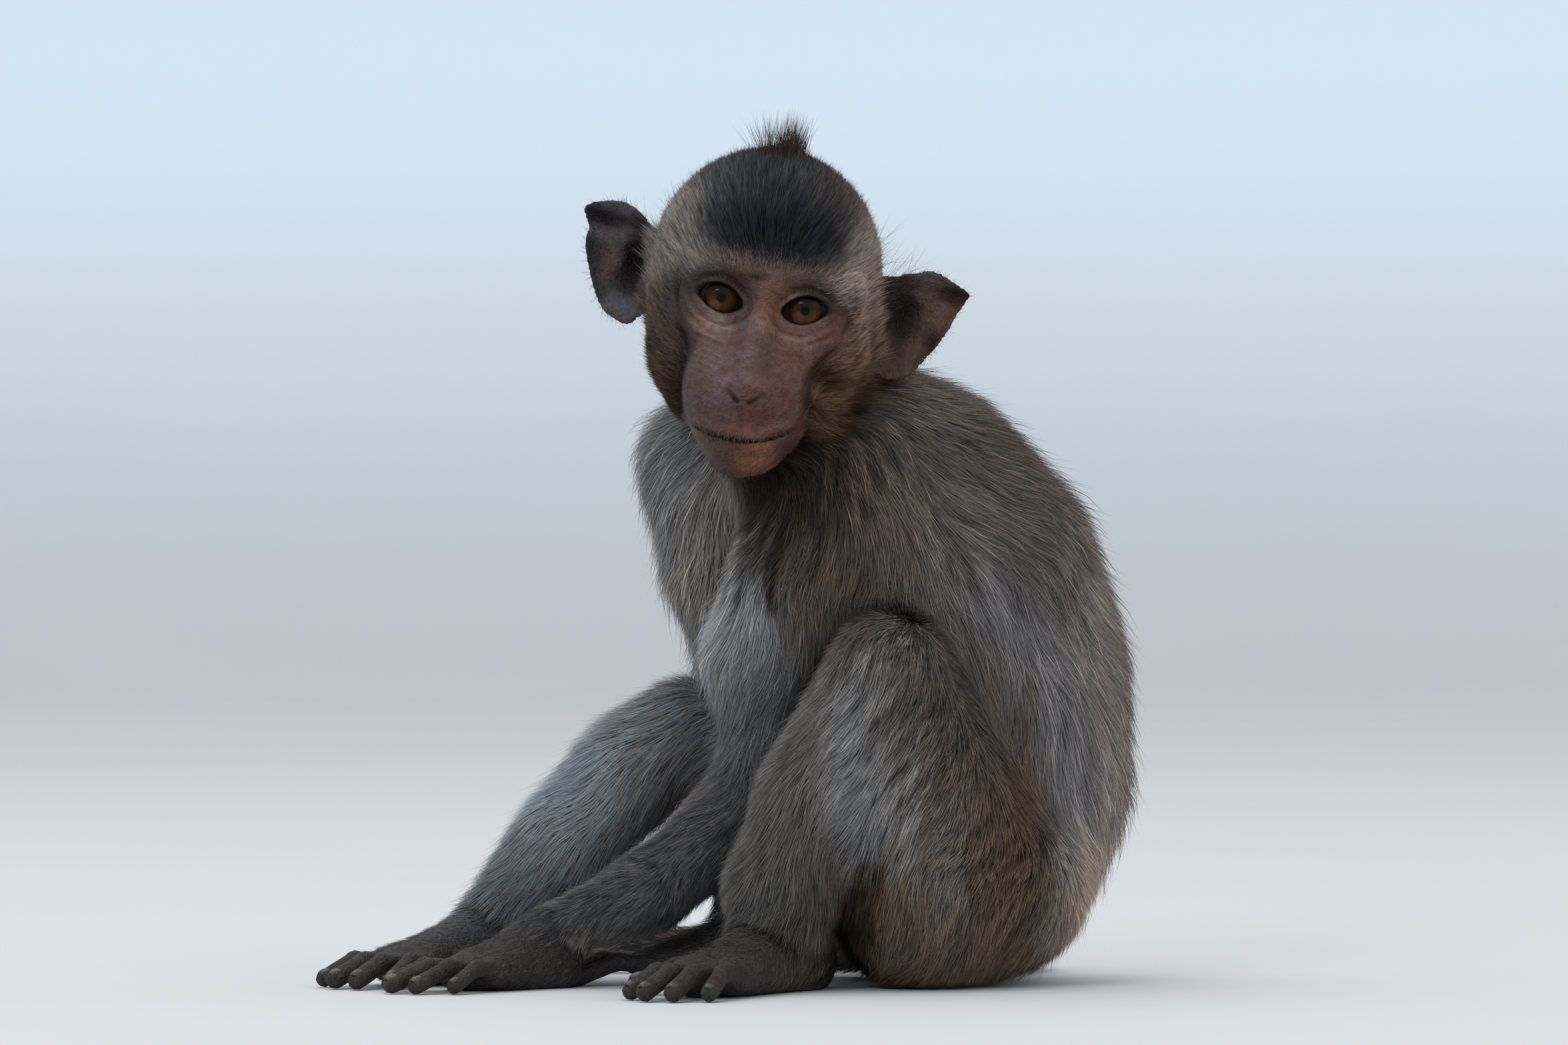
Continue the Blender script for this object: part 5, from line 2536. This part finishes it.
@dataclass
class Nails:
    """The twenty nails, one on the end of each digit.

    Attributes:
        width: half a nail's width against the digit's radius.
        length: its length against the digit's radius.
        thickness: in millimetres.
        columns: corners across a nail.
        steps: corners along a nail.
    """

    figure: Figure
    shift: Array
    width: float = 0.82
    length: float = 1.55
    thickness: float = 0.45
    columns: int = 7
    steps: int = 6

    def corner(self, radius: float, layer: float, share: float, bow: float) -> Triple:
        """Works out one corner of a nail.

        Args:
            radius: of the digit's tip.
            layer: how deep the corner lies under the nail's outside.
            share: how far along the nail it is, from 0 to 1.
            bow: how far across, from -1 to 1.

        Returns:
            How far it is ahead of the tip's middle, to its side and above it.
        """
        narrow = self.width * (1 - 0.12 * share - 0.28 * share**4)
        ahead = radius * (self.length * share - 0.75) - 0.25 * bow * bow * share * radius
        out = (radius + 0.1 - layer) * math.sin(bow * 1.05) * narrow
        drop = 0.9 * max(share - 0.35, 0) ** 2 * radius
        return ahead, out, (radius + 0.35 - layer) * math.cos(bow * 1.05 * 0.85) - drop

    def faces(self, start: int) -> Faces:
        """Returns the faces of the nail whose corners begin at a number.

        Args:
            start: the number of the nail's first corner.

        Returns:
            Corner numbers, four a face.
        """
        columns, steps = self.columns, self.steps

        def top(step: int, column: int) -> int:
            """Returns the number of a corner of the nail's outside."""
            return start + step * columns + column

        def low(step: int, column: int) -> int:
            """Returns the number of a corner of the nail's underside."""
            return top(step + steps, column)

        faces: Faces = []
        for s in range(steps - 1):
            for c in range(columns - 1):
                faces.append((low(s, c), low(s, c + 1), low(s + 1, c + 1), low(s + 1, c)))
                faces.append((top(s, c), top(s + 1, c), top(s + 1, c + 1), top(s, c + 1)))
        edge, end = columns - 1, steps - 1
        for s in range(steps - 1):
            faces.append((top(s, 0), low(s, 0), low(s + 1, 0), top(s + 1, 0)))
            faces.append((top(s + 1, edge), low(s + 1, edge), low(s, edge), top(s, edge)))
        for c in range(columns - 1):
            faces.append((top(0, c + 1), low(0, c + 1), low(0, c), top(0, c)))
            faces.append((top(end, c), low(end, c), low(end, c + 1), top(end, c + 1)))
        return faces

    def build(self) -> bpy.types.Object:
        """Returns all the nails as one piece."""
        points, faces = [], []
        shares = [step / (self.steps - 1) for step in range(self.steps)]
        bows = [(column / (self.columns - 1) - 0.5) * 2 for column in range(self.columns)]
        for tip, way in (nail for paw in self.figure.paws for nail in paw.nails()):
            flat = unit(rows((way[0], way[1], 0)))
            side = rows((-flat[1], flat[0], 0))
            faces += self.faces(len(points))
            for layer, share, bow in product((0.0, self.thickness), shares, bows):
                ahead, out, high = self.corner(tip[3] + 0.15, layer, share, bow)
                points.append(rows(tip[:3]) + flat * ahead + side * out + rows((0, 0, high)))
        places = np.array(points)
        places[:, 2] = np.maximum(places[:, 2], 0.02)
        nails = closed_piece("nails", places * MM + self.shift, faces, NailFinish())
        return nails


# === Studio ===


@dataclass(frozen=True)
class Softbox:
    """A panel of soft light.

    Attributes:
        at: its place in metres.
        size: its width and height in metres.
        power: its power in watts.
        colour: its colour.
    """

    name: str
    at: Triple
    size: Pair
    power: float
    colour: Triple


@dataclass
class Studio:
    """The floor, the lights and the camera."""

    shift: Array
    distance: float = 2.68
    eye_height: float = 0.1417
    lens: float = 200.0
    floor_reach: float = 6.0
    wall_height: float = 1.6
    boxes: Sequence[Softbox] = (
        Softbox("key", (-1.1, -2.3, 1.45), (0.9, 0.4), 15.0, (0.9, 0.96, 1.0)),
        Softbox("fill", (2.1, -1.2, 1.2), (1.4, 1.4), 5.0, (1.0, 0.9, 0.8)),
        Softbox("top", (-0.4, 0.3, 2.4), (2.0, 2.0), 20.0, (1.0, 1.0, 1.0)),
    )

    def floor(self) -> None:
        """Makes a round floor whose edge curves up into a low wall."""
        spokes, curve, wall = 96, 14, self.wall_height
        flat = self.floor_reach - wall
        profile = [(0.001, 0.0), (1.0, 0.0), (flat, 0.0)]
        for turn in (k / curve * math.pi / 2 for k in range(1, curve + 1)):
            profile.append((flat + wall * math.sin(turn), wall * (1 - math.cos(turn))))
        around = np.linspace(0, 2 * math.pi, spokes, endpoint=False)
        points = [(r * math.cos(a), r * math.sin(a), z) for r, z in profile for a in around]
        pairs = [(s, (s + 1) % spokes) for s in range(spokes)]
        starts = range(0, (len(profile) - 1) * spokes, spokes)
        faces = [(k + spokes + s, k + spokes + t, k + t, k + s) for k in starts for s, t in pairs]
        mesh = bpy.data.meshes.new("floor")
        mesh.from_pydata(points, [], [*faces, tuple(range(spokes))])
        mesh.shade_smooth()
        mesh.materials.append(FloorFinish().material())
        shown("floor", mesh)

    def lights(self) -> None:
        """Hangs the softboxes and sets the sky's even glow."""
        for box in self.boxes:
            light = bpy.data.lights.new(box.name, "AREA")
            light.shape = "RECTANGLE"
            light.size, light.size_y = box.size
            light.energy, light.color = box.power, box.colour
            lamp = bpy.data.objects.new(box.name, light)
            bpy.context.scene.collection.objects.link(lamp)
            lamp.location = box.at
            aim = Vector((0.0, 0.0, 0.12)) - Vector(box.at)
            lamp.rotation_euler = aim.to_track_quat("-Z", "Y").to_euler()
        world = bpy.data.worlds.new("sky")
        bpy.context.scene.world = world
        world.use_nodes = True
        graph = Graph(world.node_tree)
        glow = graph.node("ShaderNodeBackground", None, {"Color": (0.93, 0.965, 1.0, 1), "Strength": 0.95})
        graph.node("ShaderNodeOutputWorld", None, {"Surface": glow})
        bpy.context.scene.view_settings.view_transform = "Standard"

    def camera(self) -> None:
        """Sets up the long lens, level, at the height of the animal's chest."""
        data = bpy.data.cameras.new("camera")
        data.lens, data.sensor_width = self.lens, 36.0
        data.clip_end = 50.0
        camera = bpy.data.objects.new("camera", data)
        bpy.context.scene.collection.objects.link(camera)
        camera.location = (self.shift[0], self.shift[1] - self.distance, self.eye_height)
        camera.rotation_euler = (math.pi / 2, 0, 0)
        bpy.context.scene.camera = camera


def main() -> None:
    """Builds the animal and the studio, and notes both boxes."""
    logging.basicConfig(level=logging.INFO, format="%(message)s")
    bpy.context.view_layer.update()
    figure = Figure()
    shift = row_shift(figure)
    LOG.info("row shift %s", shift)
    coatings = Coatings(figure)
    points, triangles = SkinCast(figure).cast()
    Skin(figure, coatings, points, triangles, shift).build()
    for side in SIDES:
        Eyeball(figure, side, shift).build()
    Nails(figure, shift).build()
    Coat(figure, coatings, points, triangles, shift).grow_all()
    studio = Studio(shift)
    studio.floor()
    studio.lights()
    studio.camera()


if __name__ == "__main__":
    main()
